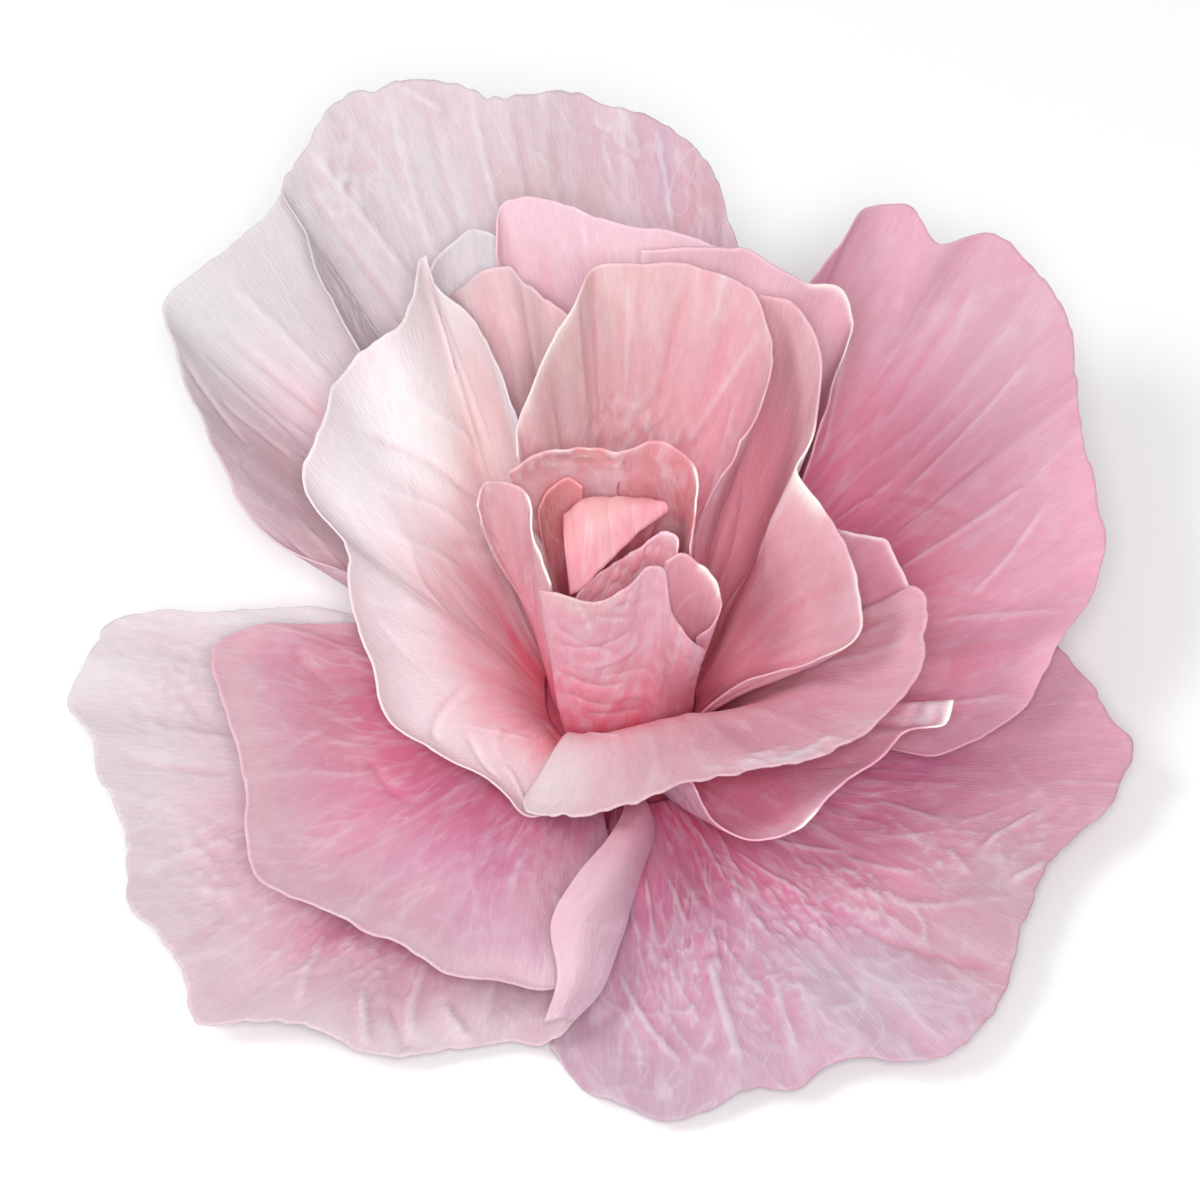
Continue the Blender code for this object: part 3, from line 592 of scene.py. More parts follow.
            (0.06, 0.80, 0.06, 0.2, (214, 178, 192), 0.6),
            (0.45, 0.70, 0.14, 0.18, (224, 188, 200), 0.7),
            (0.36, 0.48, 0.20, 0.14, (192, 112, 140), 0.7),
            (0.55, 0.95, 0.12, 0.10, (220, 202, 210), 0.7),
            (0.36, 0.92, 0.10, 0.08, (216, 184, 200), 0.6),
            (0.70, 0.70, 0.12, 0.2, (222, 204, 210), 0.7),
        ],
        wrinkles=0.5,
        frost=0.25,
        detail=dict(
            ruffle=(1.0, 17),
            pleat=(0.18, 8),
            crush=(0.16, 9, 22),
            creases=18,
            ragged=(0.7, 6),
            froth=[(0.28, 0.72, 0.08, 0.12, 0.3), (0.48, 0.80, 0.08, 0.12, 0.3), (0.72, 0.75, 0.08, 0.12, 0.3)],
            folds=[
                ((0.10, 0.99), (0.15, 0.80), 0.7, 1.1),
                ((0.15, 0.99), (0.20, 0.80), 0.7, -1.0),
                ((0.19, 0.99), (0.23, 0.82), 0.6, 1.0),
                ((0.26, 0.96), (0.34, 0.60), 1.0, 0.8),
                ((0.40, 0.98), (0.44, 0.60), 0.9, -0.7),
                ((0.16, 0.96), (0.20, 0.62), 0.9, 0.7),
                ((0.50, 0.98), (0.52, 0.66), 0.8, 0.7),
                ((0.62, 0.96), (0.60, 0.60), 0.9, -0.6),
                ((0.08, 0.92), (0.10, 0.62), 0.9, -0.6),
            ],
        ),
    ),
    "outer_petal_south_east": dict(
        tone=0.77, shades=("lilac", "rose"),
        wash=[
            (0.26, 0.36, 0.10, 0.16, (192, 110, 142), 0.7),
            (0.14, 0.88, 0.16, 0.2, (204, 168, 182), 0.6),
            (0.42, 0.74, 0.10, 0.20, (210, 192, 206), 0.9),
            (0.33, 0.55, 0.08, 0.16, (206, 166, 188), 0.7),
            (0.54, 0.86, 0.04, 0.25, (198, 148, 164), 0.6),
            (0.66, 0.88, 0.09, 0.18, (204, 170, 180), 0.8),
            (0.56, 0.32, 0.14, 0.14, (206, 138, 168), 0.6),
            (0.84, 0.45, 0.14, 0.18, (208, 124, 162), 0.8),
            (0.88, 0.86, 0.12, 0.22, (216, 154, 178), 0.9),
        ],
        calm=[(0.92, 0.75, 0.16, 0.5, 1.0), (0.60, 0.92, 0.04, 0.2, 0.6)],
        wrinkles=0.5,
        frost=0.28,
        detail=dict(
            ruffle=(1.0, 16),
            pleat=(0.14, 7),
            crush=(0.42, 9, 19),
            creases=22,
            ragged=(0.7, 6),
            froth=[
                (0.46, 0.38, 0.07, 0.07, 0.45),
                (0.54, 0.55, 0.06, 0.08, 0.50),
                (0.36, 0.30, 0.05, 0.10, 0.40),
                (0.20, 0.52, 0.08, 0.10, 0.40),
                (0.40, 0.50, 0.08, 0.06, 0.50),
                (0.30, 0.72, 0.06, 0.12, 0.35),
                (0.68, 0.72, 0.06, 0.08, 0.35),
                (0.74, 0.88, 0.05, 0.08, 0.40),
            ],
            folds=[
                ((0.34, 0.10), (0.33, 0.34), 0.7, 1.1),
                ((0.14, 0.22), (0.15, 0.44), 0.6, 1.1),
                ((0.26, 0.44), (0.25, 0.62), 0.6, 1.1),
                ((0.68, 0.70), (0.65, 0.80), 0.6, 1.1),
                ((0.69, 0.80), (0.78, 0.85), 0.6, 1.1),
                ((0.66, 0.92), (0.70, 1.00), 0.6, 1.1),
                ((0.08, 0.55), (0.18, 0.84), 0.9, 1.1),
                ((0.24, 0.52), (0.24, 0.95), 0.9, 1.1),
                ((0.32, 0.64), (0.30, 0.92), 0.8, 0.7),
                ((0.48, 0.52), (0.56, 0.98), 1.6, -0.9),
                ((0.58, 0.42), (0.62, 0.66), 0.8, 0.7),
                ((0.50, 0.20), (0.60, 0.44), 0.8, 0.7),
                ((0.40, 0.20), (0.47, 0.44), 0.8, 0.7),
                ((0.74, 0.40), (0.72, 0.64), 0.8, 0.5),
                ((0.20, 0.24), (0.22, 0.44), 0.6, 0.6),
                ((0.17, 0.50), (0.21, 0.76), 0.6, 0.6),
            ],
        ),
    ),
}

AZIMUTH_BINS = 720
REACH_STEP = 1.0
REACH_BINS = 160


def smooth_curve(points, n):
    """n points, evenly spaced, on a smooth curve through the given ones."""
    points = np.asarray(points, float)
    along = np.r_[0, np.cumsum(np.linalg.norm(np.diff(points, axis=0), axis=1))]
    step = np.diff(along)[:, None]
    chord = np.diff(points, axis=0) / step
    slope = np.empty_like(points)
    slope[1:-1] = (chord[:-1] * step[1:] + chord[1:] * step[:-1]) / (step[1:] + step[:-1])
    slope[0], slope[-1] = chord[0], chord[-1]
    at = np.linspace(0, along[-1], n)
    k = np.clip(np.searchsorted(along, at, side="right") - 1, 0, len(points) - 2)
    h = step[k]
    s = (at - along[k])[:, None] / h
    return (
        (2 * s**3 - 3 * s**2 + 1) * points[k]
        + (s**3 - 2 * s**2 + s) * h * slope[k]
        + (3 * s**2 - 2 * s**3) * points[k + 1]
        + (s**3 - s**2) * h * slope[k + 1]
    )


def strip_surface(sections):
    """A smooth surface through sections laid across a petal, from its foot to its tip."""
    across = np.stack([smooth_curve(section, FINE_U) for section in sections])
    return np.stack([smooth_curve(across[:, k], FINE_V) for k in range(FINE_U)], 1)


def petal_surface(foot, rise, tip, edge, pull=PULL):
    """The petal's middle surface: rows of points from its foot on the disc to its free edge."""
    u = np.linspace(-1, 1, FINE_U)
    v = np.linspace(0, 1, FINE_V)[:, None, None]
    rim = smooth_curve(edge, FINE_U)
    angle = np.radians(np.interp(u, [-1, 1], foot[:2]))
    radius = np.interp(u, np.linspace(-1, 1, len(foot) - 2), foot[2:])[:, None]
    radial = np.stack([np.cos(angle), np.sin(angle), 0 * angle], -1)
    base = radial * radius
    base[:, 2] = FOOT_Z
    reach = rim - base
    length = np.linalg.norm(reach, axis=1)[:, None]
    flat = reach * (1, 1, 0)
    flat /= np.linalg.norm(flat, axis=1)[:, None]
    leave = flat + radial
    leave /= np.linalg.norm(leave, axis=1)[:, None]
    up = np.array([0, 0, 1.0])
    low = np.radians(np.interp(u, [-1, 0, 1], rise))[:, None]
    high = np.radians(np.interp(u, [-1, 0, 1], tip))[:, None]
    lower = base + (leave * np.cos(low) + up * np.sin(low)) * length * pull[0]
    upper = rim - (flat * np.cos(high) + up * np.sin(high)) * length * pull[1]
    return (1 - v) ** 3 * base + 3 * (1 - v) ** 2 * v * lower + 3 * (1 - v) * v**2 * upper + v**3 * rim


def to_polar(points):
    x, y, z = points[..., 0], points[..., 1], points[..., 2] - HUB_Z
    flat = np.hypot(x, y)
    return np.arctan2(y, x), np.hypot(flat, z), np.arctan2(flat, z)


def from_polar(azimuth, reach, lean):
    return np.stack(
        [
            reach * np.sin(lean) * np.cos(azimuth),
            reach * np.sin(lean) * np.sin(azimuth),
            reach * np.cos(lean) + HUB_Z,
        ],
        -1,
    )


def bins(azimuth, reach):
    i = np.floor((azimuth / (2 * np.pi)) % 1 * AZIMUTH_BINS).astype(int) % AZIMUTH_BINS
    return i, np.clip((reach / REACH_STEP).astype(int), 0, REACH_BINS - 1)


def refine(surface, times):
    """More rows and columns, by straight interpolation."""
    rows = np.linspace(0, surface.shape[0] - 1, (surface.shape[0] - 1) * times + 1)
    low = np.clip(rows.astype(int), 0, surface.shape[0] - 2)
    part = (rows - low)[:, None, None]
    surface = surface[low] * (1 - part) + surface[low + 1] * part
    columns = np.linspace(0, surface.shape[1] - 1, (surface.shape[1] - 1) * times + 1)
    low = np.clip(columns.astype(int), 0, surface.shape[1] - 2)
    part = (columns - low)[None, :, None]
    return surface[:, low] * (1 - part) + surface[:, low + 1] * part


def spread(grid, wrap=False):
    """The largest value among each cell and its neighbours."""
    out = grid.copy()
    for axis in (0, 1):
        ahead, behind = np.roll(out, 1, axis), np.roll(out, -1, axis)
        if not (wrap and axis == 0):
            edge = [slice(None), slice(None)]
            edge[axis] = 0
            ahead[tuple(edge)] = out[tuple(edge)]
            edge[axis] = -1
            behind[tuple(edge)] = out[tuple(edge)]
        out = np.maximum(out, np.maximum(ahead, behind))
    return out


def blurred(grid):
    wide = np.pad(grid, 1, mode="edge")
    return (
        2 * wide[1:-1, 1:-1] + wide[:-2, 1:-1] + wide[2:, 1:-1] + wide[1:-1, :-2] + wide[1:-1, 2:]
    ) / 6


def nested(surfaces):
    """Each petal leaned outwards just enough to lie outside all those before it."""
    lean_so_far = np.full((AZIMUTH_BINS, REACH_BINS), -1.0)
    out = {}
    free = np.clip(np.arange(FINE_V) / 4, 0, 1)[:, None]  # the glued feet stay where they are
    for name, surface in surfaces.items():
        azimuth, reach, lean = to_polar(surface)
        i, j = bins(azimuth, reach)
        inner = spread(spread(lean_so_far, True), True)[i, j]
        short = np.where(inner > 0, inner + GAP / reach - lean, 0).clip(0)
        if not name.startswith("heart"):
            need = spread(short)
            push = need
            for _ in range(60):
                push = np.maximum(need, blurred(push))
            lean = lean + blurred(push) * free
        surface = from_polar(azimuth, reach, lean)
        out[name] = surface
        azimuth, reach, lean = to_polar(refine(surface, 5))
        np.maximum.at(lean_so_far, bins(azimuth, reach), lean)
    return out


# ---------------------------------------------------------------- finer surfaces for the looks

THICK = 0.34


def resampled(grid, n, axis):
    """The same surface on n rows or columns, smoothly through the old ones."""
    g = np.moveaxis(grid, axis, 0)
    x = np.linspace(0, len(g) - 1, n)
    k = np.clip(x.astype(int), 0, len(g) - 2)
    f = (x - k)[:, None, None]
    wide = np.concatenate([[2 * g[0] - g[1]], g, [2 * g[-1] - g[-2]]])
    a, b, c, d = wide[k], wide[k + 1], wide[k + 2], wide[k + 3]
    out = 0.5 * (2 * b + (c - a) * f + (2 * a - 5 * b + 4 * c - d) * f**2 + (3 * b - a - 3 * c + d) * f**3)
    return np.moveaxis(out, 0, axis)


def noise(x, y, seed):
    """Smooth noise, about -1 to 1, one feature a unit."""
    table = np.random.default_rng(seed).uniform(-1, 1, (64, 64))
    i, j = np.floor(x).astype(int), np.floor(y).astype(int)
    f, g = x - i, y - j
    f, g = f * f * f * (f * (f * 6 - 15) + 10), g * g * g * (g * (g * 6 - 15) + 10)
    at = lambda p, q: table[p % 64, q % 64]
    low = at(i, j) * (1 - f) + at(i + 1, j) * f
    high = at(i, j + 1) * (1 - f) + at(i + 1, j + 1) * f
    return low * (1 - g) + high * g


def turned(s, t, degrees):
    c, d = math.cos(math.radians(degrees)), math.sin(math.radians(degrees))
    return s * c + t * d, t * c - s * d


def ridges(s, t, wide, long, seed, sharp=7.0):
    """Thin raised lines, 0 to 1, about long mm by wide mm, most of them along t."""
    bend = 0.35 * noise(s / long, t / long, seed + 40)
    value = noise(s / wide + bend, t / long + bend, seed) + 0.25 * noise(s / wide * 2.3, t / long * 2.3, seed + 1)
    return np.exp(-np.abs(value) * sharp)


def crinkle(s, t, wide, long, seed):
    """Crinkled paper: patches of sharp folds lying a few ways, and shallow hollows between."""
    h = 0 * s
    for k, (turn, share) in enumerate(((-24, 0.8), (4, 1.0), (33, 0.7), (72, 0.35))):
        x, y = turned(s, t, turn)
        patch = np.clip(0.5 + 1.4 * noise(s / (3.2 * wide), t / (2.2 * long), seed + 10 * k), 0, 1)
        h += share * patch * ridges(x, y, wide, long, seed + 3 + 10 * k)
    return h - 0.45 + 0.5 * noise(s / wide, t / long * 1.4, seed + 60)


def fold(u, v, start, end, width, height, size):
    """A fold from start to end, both (across, along); it fades out at its ends. size is the petal's in mm."""
    sx, sy = size
    ax, ay, bx, by = start[0] * sx, start[1] * sy, end[0] * sx, end[1] * sy
    px, py = u * sx, v * sy
    lx, ly = bx - ax, by - ay
    length = np.hypot(lx, ly)
    t = ((px - ax) * lx + (py - ay) * ly) / length**2
    off = ((px - ax) * -ly + (py - ay) * lx) / length
    ends = np.clip(t / 0.25, 0, 1) * np.clip((1 - t) / 0.25, 0, 1)
    ends = ends * ends * (3 - 2 * ends)
    return height * ends * np.exp(-np.abs(off) / width)


def loose(across, along, detail, size, seed):
    """How far the paper stands off its smooth surface, in mm, positive towards the heart."""
    u, v = across, along
    wide, tall = size
    s, t = u * wide, v * tall
    h = np.zeros_like(u)
    amount, length = detail.get("ruffle", (0.5, 16))
    h += amount * v**2.2 * (noise(s / length, t / 60, seed) + 0.5 * noise(s / length * 2.3, t / 30, seed + 1))
    amount, length = detail.get("pleat", (0.16, 5))
    mid = np.clip(v * 3, 0, 1)
    h += amount * mid * (1 - np.abs(noise(s / length + 0.6 * noise(s / 20, t / 25, seed + 2), t / 45, seed + 3)) * 2)
    amount, fine, long = detail.get("crush", (0.18, 7, 16))
    wobble = 0.5 * noise(s / 14, t / 14, seed + 4)
    h += amount * np.clip(v * 2.2 - 0.1, 0, 1) * crinkle(s + wobble, t + wobble, fine, long, seed + 5)
    for u0, v0, ru, rv, height in detail.get("froth", ()):
        spot = np.exp(-(((u - u0) / ru) ** 2) - ((v - v0) / rv) ** 2)
        h += height * spot * (crinkle(s, t, 2.6, 4.0, seed + 80) + 0.6 * noise(s / 1.7, t / 1.9, seed + 81))
    rng = np.random.default_rng(seed + 7)
    for _ in range(detail.get("creases", 14)):
        x = rng.uniform(0.02, 0.98)
        y = rng.uniform(0.2, 0.8)
        reach = rng.uniform(0.15, 0.4)
        lean = rng.normal(0, 0.04)
        h += fold(u, v, (x - lean, y - reach / 2), (x + lean, min(y + reach / 2, 1.05)), rng.uniform(0.5, 1.3), rng.choice([-1, 1]) * rng.uniform(0.12, 0.42), size)
    for start, end, width, height in detail.get("folds", ()):
        h += fold(u, v, start, end, width, height, size)
    return h * np.clip(v / 0.12, 0, 1)


def dressed(name, surface, detail, calm=()):
    """The petal's fine surface, and for each point where it is on the sheet and how it is creased."""
    seed = 100 + 17 * list(PETALS).index(name)
    wide = np.linalg.norm(np.diff(surface[-1], axis=0), axis=1).sum()
    tall = np.linalg.norm(np.diff(surface[:, FINE_U // 2], axis=0), axis=1).sum()
    columns = int(np.clip(wide / 0.84, 54, 212)) + 1
    rows = int(np.clip(tall / 0.67, 44, 116)) + 1
    grid = resampled(resampled(surface, rows, 0), columns, 1)
    v, u = np.meshgrid(np.linspace(0, 1, rows), np.linspace(0, 1, columns), indexing="ij")
    across_step, along_step = np.gradient(grid, axis=1), np.gradient(grid, axis=0)
    normal = np.cross(across_step, along_step)
    normal /= np.linalg.norm(normal, axis=-1)[..., None] + 1e-12
    azimuth, reach, lean = to_polar(grid)
    inward = from_polar(azimuth, reach, lean - 0.02) - grid
    if (normal * inward).sum(-1).mean() < 0:
        normal = -normal
    height = loose(u, v, detail, (wide, tall), seed)
    for u0, v0, ru, rv, strength in calm:
        height *= 1 - 0.8 * strength * np.exp(-(((u - u0) / ru) ** 2) - ((v - v0) / rv) ** 2)
    # the cut edge wanders a little
    along_dir = along_step / (np.linalg.norm(along_step, axis=-1)[..., None] + 1e-12)
    ragged, period = detail.get("ragged", (0.5, 6))
    wander = ragged * (noise(u * wide / period, 0 * u, seed + 8) + 0.45 * noise(u * wide / period * 3.1, 0 * u, seed + 9))
    grid = grid + normal * height[..., None] + along_dir * (wander * v**10)[..., None]
    smooth = height.copy()
    for _ in range(6):
        smooth = blurred(smooth)
    crest = np.clip((height - smooth) / 0.16, -1, 1)
    return grid, u, v, crest, (wide, tall), seed


def painted(u, v, size, look):
    """Soft fields of colour laid over the petal, dye and some painted shade and painted light, then painted highlights
    on the cut edges that catch the light: red, green, blue, cover.
    """
    colour, cover = np.zeros(u.shape + (3,)), np.zeros(u.shape)

    def lay(amount, shade):
        nonlocal colour, cover
        colour = colour * (1 - amount[..., None]) + np.array(linear(shade)[:3]) * amount[..., None]
        cover = cover * (1 - amount) + amount

    for u0, v0, ru, rv, shade, strength in look.get("wash", ()):
        lay(strength * np.exp(-(((u - u0) / ru) ** 2) - ((v - v0) / rv) ** 2), shade)
    for start, end, width, strength in look.get("lit", ()):
        window = np.clip((u - start) / 0.04, 0, 1) * np.clip((end - u) / 0.04, 0, 1)
        # painted highlight along the cut edge
        lay(strength * window * np.exp(-(((1 - v) * size[1] / width) ** 2)), (255, 246, 236))
    return np.concatenate([colour / np.maximum(cover, 1e-4)[..., None], cover[..., None]], -1)


# ---------------------------------------------------------------- paper


def linear(colour):
    c = np.array(colour) / 255
    return tuple(np.where(c <= 0.04045, c / 12.92, ((c + 0.055) / 1.055) ** 2.4)) + (1.0,)


# foot, low, body, pale, cut edge; the deep foot and low colours are partly dye, partly painted shade and glow of the
# crevices round the heart, the cut edge colour a painted highlight
SHADES = {
    "white": [(232, 120, 140), (228, 176, 186), (228, 214, 218), (230, 222, 226), (246, 240, 242)],
    "snow": [(236, 128, 148), (232, 186, 196), (232, 220, 224), (236, 230, 232), (250, 244, 246)],
    "blush": [(230, 96, 130), (228, 148, 168), (230, 182, 194), (232, 196, 206), (246, 230, 234)],
    "salmon": [(238, 104, 128), (236, 150, 166), (234, 180, 188), (236, 190, 196), (246, 228, 228)],
    "peach": [(238, 90, 124), (234, 134, 156), (232, 158, 176), (232, 174, 188), (244, 220, 224)],
    "rose": [(232, 78, 122), (226, 118, 152), (228, 150, 174), (230, 168, 188), (242, 212, 220)],
    "lilac": [(224, 96, 144), (218, 140, 174), (218, 170, 194), (222, 188, 206), (240, 226, 234)],
    "coral": [(240, 76, 98), (238, 108, 126), (236, 138, 152), (234, 160, 170), (246, 226, 230)],
}
STOPS = (0.0, 0.28, 0.62, 0.93, 0.995)


def crepe(name, first, last, deep=0.0, wrinkles=0.5, frost=0.3, tone=0.84):
    """Crepe paper: colour fading from a deep foot to a pale edge, in streaks along the grain, the deep foot partly
    painted shade of the crevices; painted highlights on crease lines and crinkle crests, painted shade in their
    hollows.
    """
    made = bpy.data.materials.new(name)
    made.use_nodes = True
    nodes, links = made.node_tree.nodes, made.node_tree.links
    shader = nodes["Principled BSDF"]

    def node(kind, **inputs):
        n = nodes.new(kind)
        for key, value in inputs.items():
            key = key.replace("_", " ") if not key.startswith("in") else int(key[2:])
            if isinstance(value, bpy.types.NodeSocket):
                links.new(value, n.inputs[key])
            else:
                n.inputs[key].default_value = value
        return n

    def maths(operation, a, b=0.0, clamp=False):
        n = node("ShaderNodeMath", in0=a, in1=b)
        n.operation, n.use_clamp = operation, clamp
        return n.outputs[0]

    def mix(factor, a, b, blend="MIX"):
        n = nodes.new("ShaderNodeMix")
        n.data_type, n.blend_type = "RGBA", blend
        for socket, value in ((n.inputs[0], factor), (n.inputs[6], a), (n.inputs[7], b)):
            if isinstance(value, bpy.types.NodeSocket):
                links.new(value, socket)
            else:
                socket.default_value = value
        return n.outputs[2]

    def stretched(scale, detail=3.0, rough=0.55):
        place = node("ShaderNodeVectorMath", in0=sheet, in1=scale)
        place.operation = "MULTIPLY"
        return node("ShaderNodeTexNoise", Vector=place.outputs[0], Scale=1.0, Detail=detail, Roughness=rough).outputs[0]

    def read(attribute):
        n = nodes.new("ShaderNodeAttribute")
        n.attribute_name = attribute
        return n.outputs["Vector"]

    def wrinkle(turn, scale, thin):
        """Hair-fine fold lines, 0 to 1, near where a stretched noise crosses its middle; they carry painted highlights.
        """
        c, d = math.cos(math.radians(turn)), math.sin(math.radians(turn))
        across_fold = node("ShaderNodeVectorMath", in0=sheet, in1=(c, d, 0.0))
        along_fold = node("ShaderNodeVectorMath", in0=sheet, in1=(-d, c, 0.0))
        across_fold.operation = along_fold.operation = "DOT_PRODUCT"
        split = node("ShaderNodeSeparateXYZ", Vector=sheet)
        place = node(
            "ShaderNodeCombineXYZ",
            X=maths("MULTIPLY", across_fold.outputs["Value"], scale[0]),
            Y=maths("MULTIPLY", along_fold.outputs["Value"], scale[1]),
            Z=maths("MULTIPLY", split.outputs[2], 1.7 + turn * 0.01),
        ).outputs[0]
        value = node("ShaderNodeTexNoise", Vector=place, Scale=1.0, Detail=1.0, Roughness=0.5).outputs[0]
        off = maths("ABSOLUTE", maths("SUBTRACT", value, 0.5))
        line = maths("SUBTRACT", 1.0, maths("MULTIPLY", off, thin), True)
        return maths("POWER", line, 1.6)

    sheet = read("sheet")
    petal_at = node("ShaderNodeSeparateXYZ", Vector=read("petal_at"))
    across, along, crest = petal_at.outputs
    streaks, clouds, mottle = node("ShaderNodeSeparateXYZ", Vector=read("dye")).outputs
    level = maths("ADD", along, maths("MULTIPLY", maths("SUBTRACT", streaks, 0.5), 0.34))
    level = maths("ADD", level, maths("MULTIPLY", maths("SUBTRACT", clouds, 0.5), 0.30))
    # painted highlight: the strip by the cut edge is kept pale, as if catching the light, whatever the dye does
    edge = maths("MULTIPLY", maths("SUBTRACT", along, 0.990), 90.0, True)
    level = maths("MAXIMUM", maths("MINIMUM", maths("SUBTRACT", level, deep), 0.93), edge)
    ramps = []
    for shade in (first, last):
        ramp = nodes.new("ShaderNodeValToRGB")
        ramp.color_ramp.interpolation = "EASE"
        spots = ramp.color_ramp.elements
        while len(spots) < len(STOPS):
            spots.new(0.5)
        for spot, at, colour in zip(spots, STOPS, SHADES[shade]):
            spot.position = at
            spot.color = linear(colour)
        links.new(level, ramp.inputs[0])
        ramps.append(ramp.outputs[0])
    side = maths("ADD", across, maths("MULTIPLY", maths("SUBTRACT", clouds, 0.5), 0.5), True)
    colour = mix(side, *ramps)
    paint = nodes.new("ShaderNodeAttribute")
    paint.attribute_name = "paint"
    worn = nodes.new("ShaderNodeAttribute")
    worn.attribute_name = "worn"
    colour = mix(paint.outputs["Alpha"], colour, paint.outputs["Color"])
    here = maths("MULTIPLY", maths("SUBTRACT", clouds, 0.5), 6.0, True)
    there = maths("MULTIPLY", maths("SUBTRACT", 0.5, clouds), 6.0, True)
    # painted highlights along hair-fine crease lines, in patches, left off where the paper is calm
    lines = maths("MULTIPLY", wrinkle(-22, (0.15, 0.04), 30.0), here)
    lines = maths("ADD", lines, maths("MULTIPLY", wrinkle(28, (0.18, 0.045), 30.0), there))
    lines = maths("MULTIPLY", maths("MULTIPLY", lines, wrinkles, True), worn.outputs["Fac"])
    # mottled, as crushed paper is where the dye was rubbed off
    rubbed = maths("MULTIPLY", maths("MULTIPLY", maths("SUBTRACT", mottle, 0.52), 5.0, True), frost)
    rubbed = maths("MULTIPLY", rubbed, worn.outputs["Fac"])
    colour = mix(rubbed, colour, linear((232, 218, 228)))
    colour = mix(maths("MULTIPLY", lines, 0.55), colour, linear((244, 234, 240)))
    # painted highlight on the crests of the crinkles, painted shade in their hollows
    high = maths("MULTIPLY", maths("MAXIMUM", crest, 0.0), 0.24 + 0.45 * frost, True)
    low = maths("MULTIPLY", maths("MAXIMUM", maths("MULTIPLY", crest, -1.0), 0.0), 0.30, True)
    colour = mix(high, colour, linear((246, 232, 238)))
    colour = mix(low, colour, linear(SHADES[last][1]))
    grain = stretched((2.0, 0.28, 1.0), 2.0, 0.65)
    # tone scales the whole colour, partly painted light: higher on the shaded inner petals, lower on the brightly lit
    # outer ones; the grain varies it at random
    wash = maths("ADD", maths("MULTIPLY", maths("SUBTRACT", grain, 0.5), 0.22), tone)
    depth = node("ShaderNodeCombineColor", Red=wash, Green=wash, Blue=wash).outputs[0]
    colour = mix(1.0, colour, depth, "MULTIPLY")
    links.new(colour, shader.inputs["Base Color"])
    rough = maths("SUBTRACT", 0.72, maths("MULTIPLY", maths("MAXIMUM", crest, 0.0), 0.16))
    rough = maths("ADD", rough, maths("MULTIPLY", maths("SUBTRACT", grain, 0.5), 0.2), True)
    links.new(rough, shader.inputs["Roughness"])
    shader.inputs["Specular IOR Level"].default_value = 0.35
    shader.inputs["Sheen Weight"].default_value = 0.06
    bump = node("ShaderNodeBump", Height=grain, Strength=0.45, Distance=0.0003)
    links.new(bump.outputs[0], shader.inputs["Normal"])
    return made


# The disc's card is coloured deep rose so that the slivers of it seen between the petals read as painted shade in the
# crevices.
def crevice_shade_card():
    made = bpy.data.materials.new("rose_card")
    made.use_nodes = True
    nodes, links = made.node_tree.nodes, made.node_tree.links
    shader = nodes["Principled BSDF"]
    place = nodes.new("ShaderNodeTexCoord")
    fibre = nodes.new("ShaderNodeTexNoise")
    fibre.inputs["Scale"].default_value = 900
    fibre.inputs["Detail"].default_value = 4
    links.new(place.outputs["Object"], fibre.inputs["Vector"])
    ramp = nodes.new("ShaderNodeValToRGB")
    ramp.color_ramp.elements[0].color = linear((168, 64, 88))
    ramp.color_ramp.elements[1].color = linear((190, 82, 104))
    ramp.color_ramp.elements[0].position, ramp.color_ramp.elements[1].position = 0.3, 0.7
    links.new(fibre.outputs[0], ramp.inputs[0])
    links.new(ramp.outputs[0], shader.inputs["Base Color"])
    bump = nodes.new("ShaderNodeBump")
    bump.inputs["Distance"].default_value = 0.0002
    bump.inputs["Strength"].default_value = 0.5
    links.new(fibre.outputs[0], bump.inputs["Height"])
    links.new(bump.outputs[0], shader.inputs["Normal"])
    shader.inputs["Roughness"].default_value = 0.9
    return made


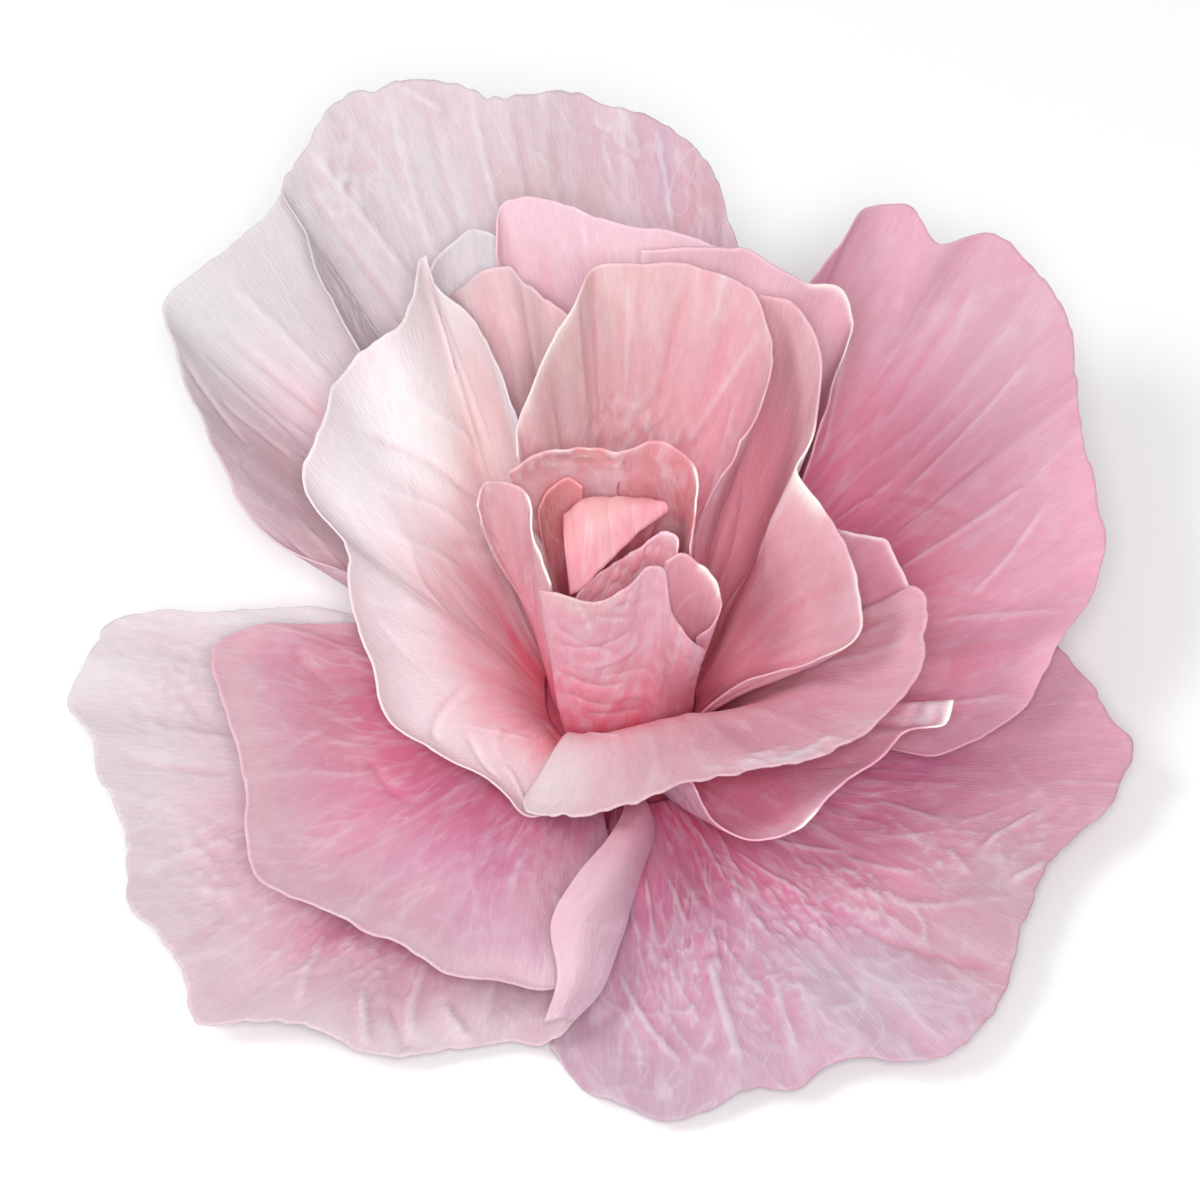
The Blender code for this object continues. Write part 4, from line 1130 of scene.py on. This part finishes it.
def paper_petal(name, surface, look):
    detail = look.get("detail", {})
    grid, u, v, crest, (wide, tall), seed = dressed(name, surface, detail, look.get("calm", ()))
    rows, columns = grid.shape[:2]
    index = np.arange(rows * columns).reshape(rows, columns)
    faces = np.stack([index[:-1, :-1], index[:-1, 1:], index[1:, 1:], index[1:, :-1]], -1).reshape(-1, 4)
    mesh = bpy.data.meshes.new(name + "_paper")
    mesh.vertices.add(rows * columns)
    mesh.vertices.foreach_set("co", (grid * MM).astype(np.float32).ravel())
    mesh.loops.add(faces.size)
    mesh.loops.foreach_set("vertex_index", faces.ravel().astype(np.int32))
    mesh.polygons.add(len(faces))
    mesh.polygons.foreach_set("loop_start", np.arange(0, faces.size, 4, dtype=np.int32))
    mesh.polygons.foreach_set("use_smooth", np.ones(len(faces), bool))
    mesh.update(calc_edges=True)
    at = mesh.attributes.new("petal_at", "FLOAT_VECTOR", "POINT")
    at.data.foreach_set("vector", np.stack([u, v, crest], -1).astype(np.float32).ravel())
    at = mesh.attributes.new("sheet", "FLOAT_VECTOR", "POINT")
    at.data.foreach_set("vector", np.stack([u * wide, v * tall, 0 * u + seed], -1).astype(np.float32).ravel())
    worn = 1 + 0 * u
    for u0, v0, ru, rv, strength in look.get("calm", ()):
        worn *= 1 - strength * np.exp(-(((u - u0) / ru) ** 2) - ((v - v0) / rv) ** 2)
    s, t = u * wide, v * tall
    streaks = 0.5 + 0.30 * noise(s / 2.6, t / 30, seed + 20) + 0.16 * noise(s / 1.1, t / 18, seed + 21)
    clouds = 0.5 + 0.32 * noise(s / 13, t / 15, seed + 22) + 0.14 * noise(s / 6, t / 7, seed + 23)
    mottle = 0.5 + 0.26 * noise(s / 4.2, t / 6.5, seed + 24) + 0.2 * noise(s / 1.9, t / 2.8, seed + 25)
    at = mesh.attributes.new("dye", "FLOAT_VECTOR", "POINT")
    at.data.foreach_set("vector", np.stack([streaks, clouds, mottle], -1).astype(np.float32).ravel())
    at = mesh.attributes.new("worn", "FLOAT", "POINT")
    at.data.foreach_set("value", worn.astype(np.float32).ravel())
    at = mesh.attributes.new("paint", "FLOAT_COLOR", "POINT")
    at.data.foreach_set("color", painted(u, v, (wide, tall), look).astype(np.float32).ravel())
    piece = bpy.data.objects.new(name + "_paper", mesh)
    bpy.context.scene.collection.objects.link(piece)
    shades = look["shades"]
    # the strengths of the painted crease highlights, of the frost, and of the tone with its painted light
    worn = (look.get("wrinkles", 0.45), look.get("frost", 0.12), look.get("tone", 0.84))
    mesh.materials.append(crepe("crepe_" + name, shades[0], shades[-1], look.get("deep", 0.0), *worn))
    thick = piece.modifiers.new("paper", "SOLIDIFY")
    thick.thickness = THICK * MM
    thick.offset = 0
    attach(piece, "root")
    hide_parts(name)
    return piece


# ---------------------------------------------------------------- the bloom

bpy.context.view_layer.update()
surfaces = nested(
    {
        name: strip_surface(p["sections"])
        if "sections" in p
        else petal_surface(p["foot"], p["rise"], p["tip"], p["edge"], p.get("pull", PULL))
        for name, p in PETALS.items()
    }
)
for name, surface in surfaces.items():
    paper_petal(name, surface, LOOKS[name])
# deep rose card: painted shade where the disc shows between the petals
disc = frame["nodes"]["backing_disc"]
disc.data.materials.clear()
disc.data.materials.append(crevice_shade_card())

# ---------------------------------------------------------------- the room

floor_mesh = bpy.data.meshes.new("floor")
wide = 6.0
floor_mesh.from_pydata([(-wide, -wide, 0), (wide, -wide, 0), (wide, wide, 0), (-wide, wide, 0)], [], [(0, 1, 2, 3)])
floor = bpy.data.objects.new("floor", floor_mesh)
bpy.context.scene.collection.objects.link(floor)
pale = bpy.data.materials.new("pale_floor")
pale.use_nodes = True
pale.node_tree.nodes["Principled BSDF"].inputs["Base Color"].default_value = (0.94, 0.94, 0.94, 1)
pale.node_tree.nodes["Principled BSDF"].inputs["Roughness"].default_value = 0.8
floor_mesh.materials.append(pale)

world = bpy.data.worlds.new("studio")
bpy.context.scene.world = world
world.use_nodes = True
world.node_tree.nodes["Background"].inputs["Color"].default_value = (0.97, 0.98, 1.0, 1)
world.node_tree.nodes["Background"].inputs["Strength"].default_value = 0.52


def panel(name, place, aim, size, power, colour=(1, 1, 1)):
    lamp = bpy.data.lights.new(name, "AREA")
    lamp.shape, lamp.size, lamp.energy, lamp.color = "DISK", size, power, colour
    made = bpy.data.objects.new(name, lamp)
    bpy.context.scene.collection.objects.link(made)
    made.location = place
    made.rotation_euler = (Vector(aim) - Vector(place)).to_track_quat("-Z", "Y").to_euler()


panel("key", (-0.78, -0.1, 0.95), (0, 0, 0.02), 0.6, 5.6)
panel("front", (0.02, -0.72, 0.90), (0, 0, 0.03), 0.4, 7.5)

# ---------------------------------------------------------------- camera: in front and 50 degrees above

TARGET = Vector((-0.003, 0.001, 0.025))
AWAY, ABOVE = 0.9, math.radians(50)
camera = bpy.data.cameras.new("camera")
camera.sensor_width = 36
camera.lens = 158.8
viewer = bpy.data.objects.new("camera", camera)
bpy.context.scene.collection.objects.link(viewer)
viewer.location = TARGET + Vector((0, -math.cos(ABOVE), math.sin(ABOVE))) * AWAY
viewer.rotation_euler = (math.pi / 2 - ABOVE, 0, 0)
bpy.context.scene.camera = viewer
bpy.context.scene.view_settings.view_transform = "Standard"

for moved in bpy.data.objects:
    moved.select_set(False)
bpy.context.view_layer.update()
